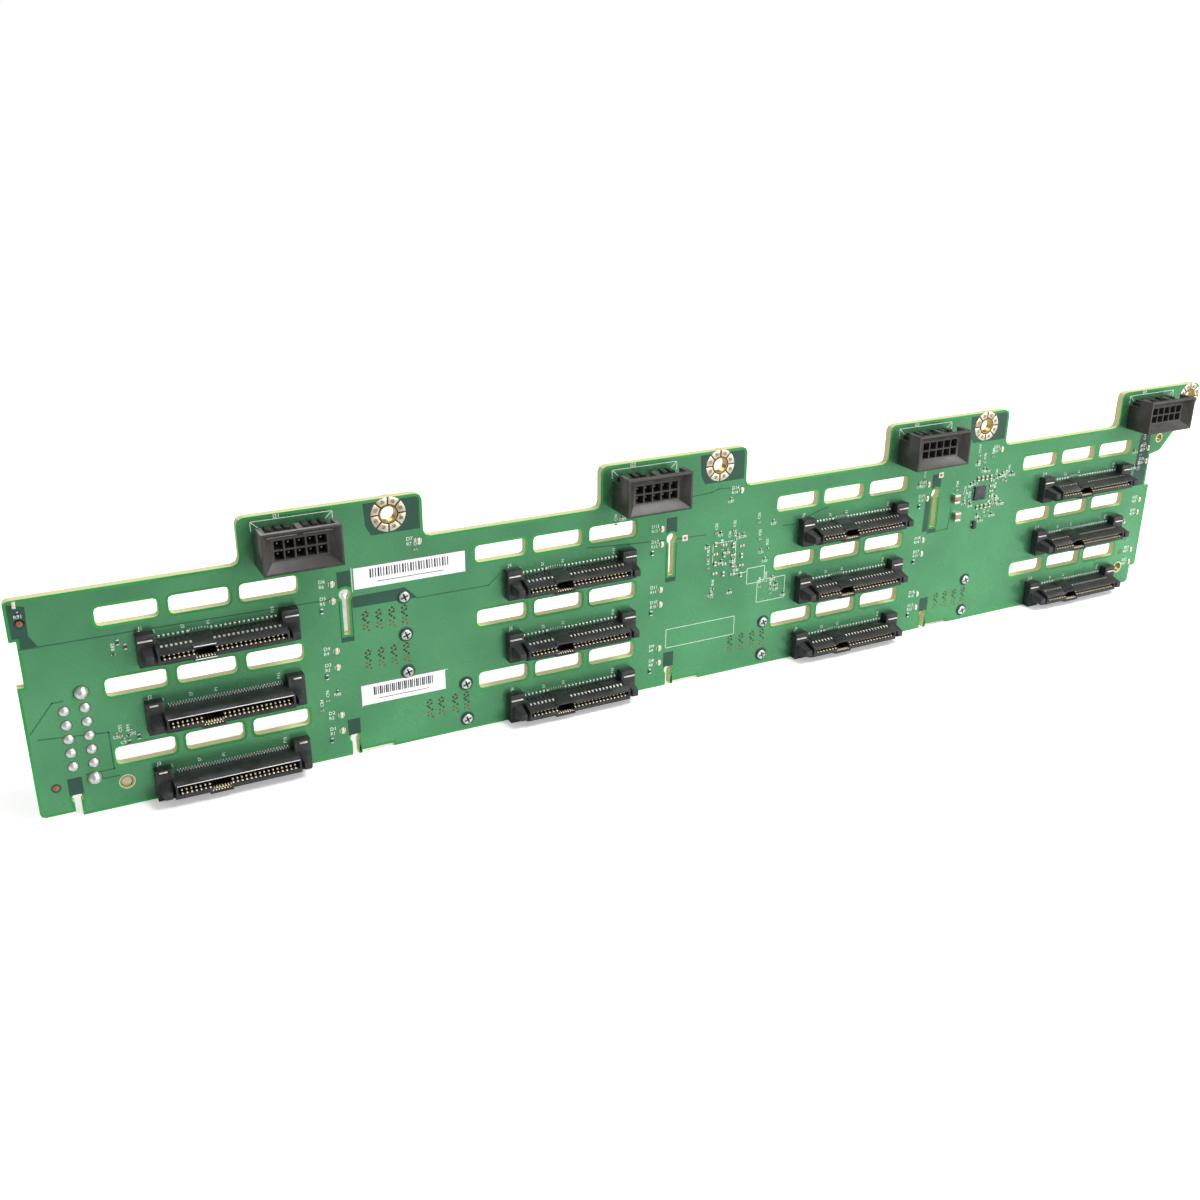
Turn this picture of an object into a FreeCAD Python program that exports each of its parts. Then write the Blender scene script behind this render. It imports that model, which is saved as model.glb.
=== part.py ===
"""Drive backplane board: a printed circuit board for a row of disk bays.

Millimetres. The board stands upright: X runs along it, Z is up, and its front face, which the drives
plug into, is the plane Y = 0 and looks towards -Y. The origin is on the front face, midway between
the screw holes of the first and the last tab.
"""
import FreeCAD, Part
import math
import os

Vector = FreeCAD.Vector

# Drive bays: four columns of three, each with a row of air slots above its receptacle
column_count = 4
row_count = 3
column_pitch = 107.1
row_pitch = 20.8
hole_to_column = 73.1
hole_to_row = 16.5

# Board
board_thickness = 2.4
board_left_margin = 29.4
board_right_margin = 59.1
board_top_margin = 8.2
board_bottom_margin = 15.8
corner_radius = 1.4
corner_chords = 2
round_sides = 12
small_round_sides = 8
left_recess_depth = 1.8
left_recess_top = 3.2
left_recess_bottom = 16.3
right_recess_depth = 2.2
right_recess_top = 4.5
right_recess_bottom = 17.0
right_foot_depth = 2.7
right_foot_height = 7.0
bottom_relief = 1.0
bottom_relief_length = 10.0
bottom_step = 1.6

# Tabs along the top edge
tab_height = 13.3
tab_width = 52.7
tab_pitch = 110.0
tab_hole_inset = 10.15
tab_radius = 2.0
last_tab_width = 40.4
last_tab_hole_inset = 4.7
last_tab_side_height = 6.2
arm_foot_reach = 2.8
arm_foot_rise = 0.9

# Air slots
slot_length = 16.2
slot_height = 5.3
slot_radius = 1.2
slot_pitch = 18.9
slots_in_group = 3

# Keyholes between the columns, and the same shape open at the bottom edge
keyhole_offset = 58.9
keyhole_drop = 5.6
keyhole_radius = 1.75
keyhole_slit = 1.8
keyhole_length = 12.5
notch_height = 5.6
notch_radius = 1.5
first_notch_spacing = 78.3

# Round holes
tab_hole_radius = 2.3
pad_height = 0.12
pad_lip = 0.25
tab_pad_radius = 5.2
guide_hole_radius = 1.9
guide_pad_radius = 2.3
guide_hole_inset = 49.4
guide_hole_height = 7.4
arm_hole_radius = 1.5
arm_pad_radius = 1.8
arm_hole_offset = 60.4
arm_hole_height = 1.6
peg_hole_offset = 6.1

# Drive receptacle: a moulded body with a mouth, two ears on the board and two guide posts.
# The fine kind has a flat top, a taller front and more contacts, and sits a little higher.
receptacle_centre = 22.97
receptacle_drop = 9.2
fine_lift = 0.3
body_half_length = 17.6
body_depth = 8.2
body_height = 5.6
body_shoulder = 5.3
body_brow = 1.1
body_front_height = 3.1
fine_front_height = 4.1
standoff = 0.3
mouth_half_length = 17.0
mouth_lip = 0.4
mouth_sill = 1.05
mouth_floor = 1.6
key_offset = 5.2
key_length = 6.4
key_wall = 0.55
key_brow = 0.5
key_rise = 0.3
key_drop = 0.6
key_sill = 0.45
ear_length = 4.3
ear_overlap = 0.5
ear_height = 9.4
ear_rise = 3.0
ear_depth = 3.0
post_drop = 2.7
post_gap = 0.4
post_root_width = 3.1
post_root_height = 3.7
post_tip_width = 2.0
post_tip_height = 2.0
post_reach = 8.1

# Contacts of the drive receptacles
contact_pitch = 1.27
contact_width = 0.5
contact_thickness = 0.25
contact_reach = 6.9
contact_gap = 0.25
signal_contacts = 7
power_contacts = 15
fine_pitch = 0.8
fine_width = 0.35
hold_down_length = 3.9
hold_down_thickness = 0.4
hold_down_drop = 1.6
fine_hold_down_length = 2.3
fine_hold_down_drop = 0.4
hold_down_proud = 0.35
fit_gap = 0.05

# Tab receptacle: a blind-mate power receptacle of two rows with a flared mouth
tab_body_inset = 4.1
tab_body_drop = 2.0
tab_body_length = 22.2
tab_body_height = 11.96
tab_body_depth = 10.69
tab_flange = 1.4
tab_recess = 1.9
tab_rib = 1.6
tab_rib_back = 4.7
tab_side_height = 8.9
tab_funnel_depth = 2.7
tab_rim = 0.6
tab_funnel_inset = 3.1
tab_funnel_bottom = 2.8
tab_funnel_top = 9.6
tab_cell_pitch = 3.0
tab_cell = 2.5
tab_cell_count = 5
tab_cell_floor = 1.4
tab_cell_height = 3.35
pin_width = 0.64
tab_pin_reach = 6.4

# Cable receptacles on the back, held by screws from the front
port_length = 18.0
port_height = 9.7
port_depth = 14.5
port_plug_length = 15.2
port_plug_height = 6.6
port_plug_depth = 10.5
port_tongue_length = 13.0
port_tongue_height = 1.3
port_tongue_inset = 4.5
port_pitch = 12.15
port_screw_offset = 5.95
upper_port_offset = 70.4
upper_port_drop = 21.45
lower_port_offsets = (88.65, 89.75, 71.4)
lower_port_drop = 6.0
boss_radius = 2.2
boss_depth = 7.0
screw_radius = 0.9
screw_clearance = 0.15
screw_head_radius = 1.65
screw_crown_radius = 1.15
screw_head_height = 0.9
screw_length = 6.2

# Power header on the back: two columns of sockets with board locks above and below
header_offset = 16.5
header_drop = 33.65
header_width = 9.6
header_depth = 12.8
header_pitch = 4.2
header_column_pitch = 5.3
header_rows = 5
header_end = 2.7
header_cell = 3.5
header_cell_floor = 3.2
header_pin = 1.1
header_pin_reach = 9.5
header_latch_width = 6.0
header_latch_depth = 1.4
header_latch_length = 4.2
joint_radius = 1.35
joint_tip_radius = 0.45
joint_height = 0.9
lock_spread = 13.0
lock_shift = 2.3
lock_radius = 1.5
lock_clearance = 0.1
lock_slit = 0.7
lock_proud = 1.2
lock_ear = 3.4
lock_ear_depth = 3.0

# Locating peg on the back
peg_radius = 1.6
peg_shoulder_radius = 2.6
peg_length = 8.0
peg_recess = 0.3
peg_collar = 2.0

# Small parts
lamp_offset = 55.3
lamp_drops = (1.8, 7.0)
lamp_width = 0.9
lamp_length = 1.7
lamp_height = 0.6
lamp_tab_offset = 8.6
lamp_tab_drop = 1.2
chip_length = 1.6
chip_width = 0.8
chip_height = 0.5
large_chip_length = 3.2
large_chip_width = 2.5
large_chip_height = 1.5
large_chip_spots = ((-10.9, -0.6), (-9.8, -7.4))
controller_size = 5.0
controller_height = 0.9
controller_offset = 79.2
controller_drop = 8.2
capacitor_gap = 5.4
capacitor_pitch = 1.95
transistor_length = 2.9
transistor_width = 1.4
transistor_height = 1.0
transistor_spot = (-0.9, -12.0)
cluster_offset = 75.5
cluster_drop = 10.2
cluster_count = 4
cluster_pitch = 3.4
cluster_skew = 0.7
header_resistor_spots = ((10.8, 25.65), (12.6, 24.05), (10.2, -4.35), (12.8, -3.15))
bay_resistor_shift = 3.4
bay_resistor_drop = 2.4
label_thickness = 0.1
upper_label_length = 33.9
upper_label_height = 6.5
lower_label_length = 26.2
lower_label_height = 6.3
label_gap = 2.9
upper_label_drop = 1.45
lower_label_drop = 38.75


def column_x(column):
    """X of a column's first air slot."""
    return (column - (column_count - 1) / 2.0) * column_pitch - hole_to_column


def row_z(row):
    """Z of a row of air slots, counted down from the top."""
    return -hole_to_row - row * row_pitch


board_left = column_x(0) - board_left_margin
board_right = column_x(column_count - 1) + board_right_margin
board_top = row_z(0) + board_top_margin
board_bottom = row_z(row_count - 1) - board_bottom_margin
tab_top = board_top + tab_height
first_hole_x = column_x(0) + hole_to_column
last_hole_x = column_x(column_count - 1) + hole_to_column
inner_tabs = column_count - 1
tab_hole_xs = [first_hole_x + tab * tab_pitch for tab in range(inner_tabs)] + [last_hole_x]
tab_lefts = [x + tab_hole_inset - tab_width for x in tab_hole_xs[:inner_tabs]]
tab_lefts.append(last_hole_x + last_tab_hole_inset - last_tab_width)
keyhole_xs = [column_x(column) + keyhole_offset for column in range(column_count - 1)]
notch_xs = [keyhole_xs[0] - first_notch_spacing] + keyhole_xs
keyhole_z = row_z(0) - keyhole_drop
guide_hole_x = column_x(column_count - 1) + guide_hole_inset
guide_z = board_bottom + guide_hole_height
arm_hole_x = column_x(column_count - 1) + arm_hole_offset
arm_z = row_z(0) + arm_hole_height
peg_x = column_x(0) - peg_hole_offset
header_x = column_x(0) - header_offset
header_z = row_z(0) - header_drop
lock_x = header_x + lock_shift
lock_zs = (header_z - lock_spread, header_z + lock_spread)


def box(x0, x1, y0, y1, z0, z1):
    """A block between two corners."""
    return Part.makeBox(x1 - x0, y1 - y0, z1 - z0, Vector(x0, y0, z0))


def rod(x, z, radius, y0, y1):
    """A round bar along Y."""
    return Part.makeCylinder(radius, y1 - y0, Vector(x, y0, z), Vector(0, 1, 0))


def prism(x, z, radius, y0, y1, sides):
    """A bar along Y with flat sides; radius is measured to the corners."""
    corners = []
    for side in range(sides):
        angle = math.pi * (2 * side + 1) / sides
        corners.append(Vector(x + radius * math.cos(angle), y0, z + radius * math.sin(angle)))
    face = Part.Face(Part.makePolygon(corners + corners[:1]))
    return face.extrude(Vector(0, y1 - y0, 0))


def cone(x, z, radius, tip_radius, y0, y1, sides):
    """A low cone with flat sides, from a wide end at y0 to a narrow end at y1."""
    ends = []
    for end_radius, y in ((radius, y0), (tip_radius, y1)):
        ring = []
        for side in range(sides):
            angle = math.pi * (2 * side + 1) / sides
            ring.append(Vector(x + end_radius * math.cos(angle), y, z + end_radius * math.sin(angle)))
        ends.append(ring)
    return flat_sided(ends[0], ends[1])


def flat_sided(first, last):
    """A solid between two rings with as many corners, all its sides flat."""
    count = len(first)
    faces = [Part.Face(Part.makePolygon(ring + ring[:1])) for ring in (first, last)]
    for index in range(count):
        after = (index + 1) % count
        corners = [first[index], first[after], last[after], last[index]]
        faces.append(Part.Face(Part.makePolygon(corners + corners[:1])))
    solid = Part.Solid(Part.Shell(faces))
    if solid.Volume < 0:
        solid.reverse()
    return solid


def rounded_face(points, y):
    """A flat face across Y from corners (x, z, radius); each rounding is a few short chords."""
    count = len(points)
    corners = []
    for index, (x, z, radius) in enumerate(points):
        corner = Vector(x, y, z)
        if radius == 0:
            corners.append(corner)
            continue
        before = Vector(points[index - 1][0], y, points[index - 1][1]) - corner
        after = Vector(points[(index + 1) % count][0], y, points[(index + 1) % count][1]) - corner
        before.normalize()
        after.normalize()
        half = before.getAngle(after) / 2.0
        bisector = (before + after).normalize()
        centre = corner + bisector * (radius / math.sin(half))
        start = corner + before * (radius / math.tan(half)) - centre
        end = corner + after * (radius / math.tan(half)) - centre
        for chord in range(corner_chords + 1):
            share = chord / float(corner_chords)
            spoke = start * (1.0 - share) + end * share
            corners.append(centre + spoke.normalize() * radius)
    return Part.Face(Part.makePolygon(corners + corners[:1]))


def plate(points, y0, y1):
    """A plate across Y with rounded corners."""
    return rounded_face(points, y0).extrude(Vector(0, y1 - y0, 0))


def bar(profile, x0, x1):
    """A bar along X with a profile of (y, z) corners."""
    corners = [Vector(x0, y, z) for y, z in profile]
    face = Part.Face(Part.makePolygon(corners + corners[:1]))
    return face.extrude(Vector(x1 - x0, 0, 0))


def taper(x0, x1, z0, z1, y0, tip_x0, tip_x1, tip_z0, tip_z1, y1):
    """A block that runs from one rectangle across Y to another."""
    def rectangle(a, b, c, d, y):
        return [Vector(a, y, c), Vector(b, y, c), Vector(b, y, d), Vector(a, y, d)]
    return flat_sided(rectangle(x0, x1, z0, z1, y0), rectangle(tip_x0, tip_x1, tip_z0, tip_z1, y1))


def fuse(solids):
    """One solid from several that meet."""
    return solids[0].multiFuse(solids[1:]).removeSplitter()


def export(node, solids):
    """Write one node, as one solid or as a group of separate solids."""
    shape = solids[0] if len(solids) == 1 else Part.makeCompound(solids)
    shape.exportStep("parts/" + node + ".step")


def board_outline():
    """Corners of the board's edge, from its bottom left clockwise."""
    foot_z = board_bottom + right_foot_height
    half_slit = keyhole_slit / 2.0
    points = [
        (board_left, board_bottom + bottom_step, corner_radius),
        (board_left, row_z(0) - left_recess_bottom, 0),
        (board_left + left_recess_depth, row_z(0) - left_recess_bottom, 0),
        (board_left + left_recess_depth, row_z(0) - left_recess_top, 0),
        (board_left, row_z(0) - left_recess_top, 0),
        (board_left, board_top, corner_radius),
    ]
    for left in tab_lefts[:inner_tabs]:
        points += [
            (left, board_top, tab_radius),
            (left, tab_top, tab_radius),
            (left + tab_width, tab_top, tab_radius),
            (left + tab_width, board_top, tab_radius),
        ]
    last_left = tab_lefts[-1]
    recess_x = board_right - right_recess_depth
    points += [
        (last_left, board_top, tab_radius),
        (last_left, tab_top, tab_radius),
        (last_left + last_tab_width, tab_top, tab_radius),
        (last_left + last_tab_width, tab_top - last_tab_side_height, corner_radius),
        (board_right + arm_foot_reach, row_z(0) - right_recess_top + arm_foot_rise, corner_radius),
        (recess_x, row_z(0) - right_recess_top, 0),
        (recess_x, row_z(0) - right_recess_bottom, 0),
        (board_right, row_z(0) - right_recess_bottom, 0),
        (board_right, foot_z, corner_radius / 2.0),
        (board_right - right_foot_depth, foot_z, 0),
        (board_right - right_foot_depth, board_bottom, corner_radius),
    ]
    relief_z = board_bottom + bottom_relief
    for x in reversed(notch_xs[1:]):
        relief_start = x + half_slit + bottom_relief
        points += [
            (relief_start + bottom_relief_length, board_bottom, 0),
            (relief_start + bottom_relief_length, relief_z, 0),
            (relief_start, relief_z, 0),
            (relief_start, board_bottom, 0),
        ]
    step_x = notch_xs[0]
    points += [
        (step_x, board_bottom, 0),
        (step_x, board_bottom + bottom_step, 0),
    ]
    return points


def keyhole_cut(x, z, radius, low):
    """A round hole with a slit that runs down from it."""
    y0 = -board_thickness
    y1 = 2.0 * board_thickness
    half = keyhole_slit / 2.0
    slit = box(x - half, x + half, y0, y1, low, z)
    return prism(x, z, radius, y0, y1, round_sides).fuse(slit)


def air_slots():
    """Openings for air above each receptacle."""
    cuts = []
    half_x = slot_length / 2.0
    half_z = slot_height / 2.0
    for column in range(column_count):
        for row in range(row_count):
            for slot in range(slots_in_group):
                x = column_x(column) + slot * slot_pitch
                z = row_z(row)
                corners = [(x - half_x, z - half_z), (x - half_x, z + half_z),
                           (x + half_x, z + half_z), (x + half_x, z - half_z)]
                rounded = [(a, b, slot_radius) for a, b in corners]
                cuts.append(plate(rounded, 0, board_thickness))
    return cuts


def port_places():
    """Centres (x, z) of the cable receptacles, each with how many ports it stacks."""
    places = [("upper", column_x(0) + upper_port_offset, row_z(0) - upper_port_drop, 2)]
    low_z = row_z(row_count - 1) - lower_port_drop
    for column, name in enumerate(("left", "middle", "right")):
        places.append((name, column_x(column) + lower_port_offsets[column], low_z, 1))
    return places


def port_screws(x, z, ports):
    """Screw places of one cable receptacle, above, below and between its ports."""
    low = z - ports * port_pitch / 2.0
    return [(x + port_screw_offset, low + step * port_pitch) for step in range(ports + 1)]


def screw_places():
    """Places of every screw."""
    places = []
    for name, x, z, ports in port_places():
        places += port_screws(x, z, ports)
    return places


def circuit_board():
    """The bare board with its tabs, slots, keyholes, notches and holes."""
    solid = plate(board_outline(), 0, board_thickness)
    cuts = air_slots()
    for x in keyhole_xs:
        cuts.append(keyhole_cut(x, keyhole_z, keyhole_radius, keyhole_z - keyhole_length))
    for x in notch_xs:
        cuts.append(keyhole_cut(x, board_bottom + notch_height, notch_radius, board_bottom - notch_height))
    for x, z, radius, pad_radius in plated_holes():
        cuts.append(rod(x, z, radius, 0, board_thickness))
    cuts.append(prism(peg_x, guide_z, peg_radius, 0, board_thickness, round_sides))
    for z in lock_zs:
        cuts.append(prism(lock_x, z, lock_radius + lock_clearance, 0, board_thickness, small_round_sides))
    for x, z in screw_places():
        cuts.append(prism(x, z, screw_radius + screw_clearance, 0, board_thickness, small_round_sides))
    return solid.cut(Part.makeCompound(cuts)).removeSplitter()


def plated_holes():
    """Place, radius and ring radius of each plated round hole."""
    holes = [(x, 0, tab_hole_radius, tab_pad_radius) for x in tab_hole_xs]
    holes.append((guide_hole_x, guide_z, guide_hole_radius, guide_pad_radius))
    holes.append((arm_hole_x, arm_z, arm_hole_radius, arm_pad_radius))
    return holes


def hole_pads():
    """Tinned rings round the plated holes, on both faces of the board."""
    solids = []
    for x, z, radius, pad_radius in plated_holes():
        for low in (-pad_height, board_thickness):
            ring = prism(x, z, pad_radius, low, low + pad_height, small_round_sides)
            hole = prism(x, z, radius + pad_lip, low, low + pad_height, small_round_sides)
            solids.append(ring.cut(hole))
    return solids


def locating_peg():
    """A stepped peg pressed into the board from the back."""
    shoulder = board_thickness + peg_collar
    tip = board_thickness + peg_length
    stem = prism(peg_x, guide_z, peg_radius, peg_recess, tip, round_sides)
    collar = prism(peg_x, guide_z, peg_shoulder_radius, board_thickness, shoulder, round_sides)
    return stem.fuse(collar).removeSplitter()


def contact_places(count, first, pitch):
    """Offsets along a row of contacts."""
    return [first + index * pitch for index in range(count)]


def main_contact_offsets():
    """Offsets of the signal and power contacts from the receptacle's centre."""
    row_span = (2 * signal_contacts + power_contacts - 4) * contact_pitch
    first = -row_span / 2.0
    signal = contact_places(signal_contacts, first, contact_pitch)
    power_first = -first - (power_contacts - 1) * contact_pitch
    power = contact_places(power_contacts, power_first, contact_pitch)
    return signal, power


def key_contact_offsets():
    """Offsets of the seven fine contacts under the key, from the receptacle's centre."""
    middle = -key_offset
    span = (signal_contacts - 1) * fine_pitch
    return contact_places(signal_contacts, middle - span / 2.0, fine_pitch)


def blade_contact(x, z, width):
    """A straight contact that stands in the mouth."""
    half = width / 2.0
    return box(x - half, x + half, -contact_reach, 0, z, z + contact_thickness)


def front_levels(z, fine):
    """Top and bottom of a receptacle's front face; z is the top of its body."""
    if fine:
        return z, z - fine_front_height
    return z - body_brow, z - body_brow - body_front_height


def mouth_levels(z, fine):
    """Top and bottom of a receptacle's mouth."""
    front_top, front_bottom = front_levels(z, fine)
    return front_top - mouth_lip, front_bottom + mouth_sill


def key_sides(x):
    """Left and right side of the key, the wider part of the mouth."""
    left = x - key_offset - key_length / 2.0
    return left, left + key_length


def main_contact_level(z, fine):
    """Lower face of the signal and power contacts, just above the mouth's sill."""
    return mouth_levels(z, fine)[1] + contact_gap


def key_contact_level(z, fine):
    """Lower face of the fine contacts along the key's sill."""
    return front_levels(z, fine)[1] - key_drop + key_sill + contact_gap


def receptacle_body(x, z, fine):
    """The moulded body, closed at the ends, with its key block."""
    front_top, front_bottom = front_levels(z, fine)
    base = z - body_height
    profile = [(-standoff, z), (-body_shoulder, z), (-body_depth, front_top),
               (-body_depth, front_bottom), (-body_shoulder, base), (-standoff, base)]
    if fine:
        profile.pop(1)
    left, right = key_sides(x)
    key_bottom = front_bottom - key_drop
    key_profile = [(-body_depth, front_bottom + mouth_sill), (-body_depth, key_bottom),
                   (-body_shoulder, base), (-body_shoulder, front_bottom + mouth_sill)]
    pieces = [bar(profile, x - body_half_length, x + body_half_length), bar(key_profile, left, right)]
    if not fine:
        raised = [(-standoff, z - key_brow), (-standoff, z + key_rise), (-body_depth, z - key_brow),
                  (-body_depth, front_top - mouth_lip), (-body_shoulder, front_top - mouth_lip)]
        pieces.append(bar(raised, left, right))
    return pieces


def contact_slit(x, offsets, width, level):
    """The slit in the floor of the mouth that a row of contacts passes."""
    half = width / 2.0 + fit_gap
    return box(x + offsets[0] - half, x + offsets[-1] + half, -mouth_floor, 0,
               level - fit_gap, level + contact_thickness + fit_gap)


def receptacle_cavity(x, z, fine):
    """The mouth, its wider part at the key and the slits that the contacts pass."""
    top, bottom = mouth_levels(z, fine)
    left, right = key_sides(x)
    key_floor = front_levels(z, fine)[1] - key_drop + key_sill
    key_ceiling = top if fine else z - key_brow - mouth_lip
    mouth = box(x - mouth_half_length, x + mouth_half_length, -body_depth, -mouth_floor, bottom, top)
    key = box(left + key_wall, right - key_wall, -body_depth, -mouth_floor, key_floor, key_ceiling)
    cuts = [mouth, key]
    signal, power = main_contact_offsets()
    level = main_contact_level(z, fine)
    cuts.append(contact_slit(x, signal, contact_width, level))
    cuts.append(contact_slit(x, power, contact_width, level))
    if fine:
        cuts.append(contact_slit(x, key_contact_offsets(), fine_width, key_contact_level(z, fine)))
    return cuts


def ear_box(x, z, side):
    """One ear, which sits on the board; side is -1 or 1."""
    inner = x + side * (body_half_length - ear_overlap)
    outer = x + side * (body_half_length + ear_length)
    top = z + ear_rise
    return box(min(inner, outer), max(inner, outer), -ear_depth, 0, top - ear_height, top)


def guide_post(x, z, side):
    """The tapered post that stands on an ear beside the mouth."""
    root_inner = x + side * (body_half_length + post_gap)
    root_outer = root_inner + side * post_root_width
    middle = (root_inner + root_outer) / 2.0
    level = z - post_drop
    half_tip = post_tip_width / 2.0
    return taper(min(root_inner, root_outer), max(root_inner, root_outer),
                 level - post_root_height / 2.0, level + post_root_height / 2.0, -ear_depth,
                 middle - half_tip, middle + half_tip,
                 level - post_tip_height / 2.0, level + post_tip_height / 2.0, -post_reach)


def hold_down_place(x, z, side, fine):
    """Middle X, upper Z and length of a hold-down."""
    middle = x + side * (body_half_length + ear_length / 2.0)
    drop = fine_hold_down_drop if fine else hold_down_drop
    length = fine_hold_down_length if fine else hold_down_length
    return middle, z + ear_rise - drop, length


def hold_down_slot(x, z, side, fine):
    """The slot in an ear for its hold-down."""
    middle, top, length = hold_down_place(x, z, side, fine)
    half = length / 2.0 + fit_gap
    low = top - hold_down_thickness - fit_gap
    return box(middle - half, middle + half, -ear_depth, 0, low, top + fit_gap)


def receptacle_housing(x, z, fine):
    """A whole drive receptacle housing."""
    pieces = receptacle_body(x, z, fine)
    cuts = receptacle_cavity(x, z, fine)
    for side in (-1, 1):
        pieces.append(ear_box(x, z, side))
        pieces.append(guide_post(x, z, side))
        cuts.append(hold_down_slot(x, z, side, fine))
    return fuse(pieces).cut(Part.makeCompound(cuts)).removeSplitter()


def receptacle_contacts(x, z, fine):
    """The contacts along the sill of one drive receptacle's mouth, each a separate piece."""
    signal, power = main_contact_offsets()
    level = main_contact_level(z, fine)
    solids = [blade_contact(x + offset, level, contact_width) for offset in signal + power]
    if fine:
        key_level = key_contact_level(z, fine)
        solids += [blade_contact(x + offset, key_level, fine_width) for offset in key_contact_offsets()]
    return solids


def hold_downs(x, z, fine):
    """The two metal plates that pin a receptacle to the board."""
    solids = []
    for side in (-1, 1):
        middle, top, length = hold_down_place(x, z, side, fine)
        solids.append(box(middle - length / 2.0, middle + length / 2.0, -ear_depth - hold_down_proud, 0,
                          top - hold_down_thickness, top))
    return solids


def tab_cells(x, z):
    """Places (x, z) of the cells of a tab receptacle; x, z is the lower left of the body."""
    middle = x + tab_body_length / 2.0
    places = []
    for row in range(2):
        for cell in range(tab_cell_count):
            offset = (cell - (tab_cell_count - 1) / 2.0) * tab_cell_pitch
            places.append((middle + offset, z + tab_cell_height + tab_cell / 2.0 + row * tab_cell_pitch))
    return places


def tab_receptacle(x, z):
    """A blind-mate housing: a front flange on ribs, a flared mouth and ten square cells."""
    right = x + tab_body_length
    top = z + tab_body_height
    flange_y = -tab_body_depth + tab_flange
    funnel_y = -tab_body_depth + tab_funnel_depth
    core = box(x + tab_recess, right - tab_recess, -tab_body_depth, 0, z, top - tab_recess)
    flange = box(x, right, -tab_body_depth, flange_y, z, top)
    pieces = [core, flange]
    middle = (x + right) / 2.0
    rib_z = z + tab_side_height - tab_rib
    for rib_x in (x, middle - tab_rib / 2.0, right - tab_rib):
        pieces.append(box(rib_x, rib_x + tab_rib, flange_y, -tab_rib_back, rib_z, top))
    for side_x in (x, right - tab_recess):
        pieces.append(box(side_x, side_x + tab_recess, flange_y, 0, z, z + tab_side_height))
    cells = tab_cells(x, z)
    half = tab_cell / 2.0
    cuts = [taper(x + tab_funnel_inset, right - tab_funnel_inset, z + tab_funnel_bottom, z + tab_funnel_top,
                  funnel_y, x + tab_rim, right - tab_rim, z + tab_rim, top - tab_rim, -tab_body_depth)]
    for cell_x, cell_z in cells:
        cuts.append(box(cell_x - half, cell_x + half, funnel_y, -tab_cell_floor,
                        cell_z - half, cell_z + half))
        hole = pin_width / 2.0
        cuts.append(box(cell_x - hole, cell_x + hole, -tab_cell_floor, 0, cell_z - hole, cell_z + hole))
    return fuse(pieces).cut(Part.makeCompound(cuts)).removeSplitter()


def tab_pins(x, z):
    """Square pins of a tab receptacle, one in each cell."""
    half = pin_width / 2.0
    return [box(pin_x - half, pin_x + half, -tab_pin_reach, 0, pin_z - half, pin_z + half)
            for pin_x, pin_z in tab_cells(x, z)]


def cable_receptacle(x, z, ports):
    """A shell on the back of the board with one plug opening for each port and screw bosses."""
    back = board_thickness
    front = back + port_depth
    half_x = port_length / 2.0
    half_z = ((ports - 1) * port_pitch + port_height) / 2.0
    pieces = [box(x - half_x, x + half_x, back, front, z - half_z, z + half_z)]
    cuts = []
    for boss_x, boss_z in port_screws(x, z, ports):
        if abs(boss_z - z) > half_z:
            pieces.append(prism(boss_x, boss_z, boss_radius, back, back + boss_depth, small_round_sides))
        cuts.append(prism(boss_x, boss_z, screw_radius, back, back + screw_length, small_round_sides))
    for port_z in port_levels(z, ports):
        plug_x = port_plug_length / 2.0
        plug_z = port_plug_height / 2.0
        cuts.append(box(x - plug_x, x + plug_x, front - port_plug_depth, front,
                        port_z - plug_z, port_z + plug_z))
    return fuse(pieces).cut(Part.makeCompound(cuts)).removeSplitter()


def port_levels(z, ports):
    """Z of each port of one cable receptacle."""
    return [z + (port - (ports - 1) / 2.0) * port_pitch for port in range(ports)]


def port_tongues(x, z, ports):
    """The contact tongue in each port."""
    front = board_thickness + port_depth
    half_x = port_tongue_length / 2.0
    half_z = port_tongue_height / 2.0
    solids = []
    for port_z in port_levels(z, ports):
        solids.append(box(x - half_x, x + half_x, front - port_plug_depth, front - port_tongue_inset,
                          port_z - half_z, port_z + half_z))
    return solids


def header_cells():
    """Places (x, z) of the sockets of the power header."""
    places = []
    for side in (-0.5, 0.5):
        for row in range(header_rows):
            offset = (row - (header_rows - 1) / 2.0) * header_pitch
            places.append((header_x + side * header_column_pitch, header_z + offset))
    return places


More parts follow.
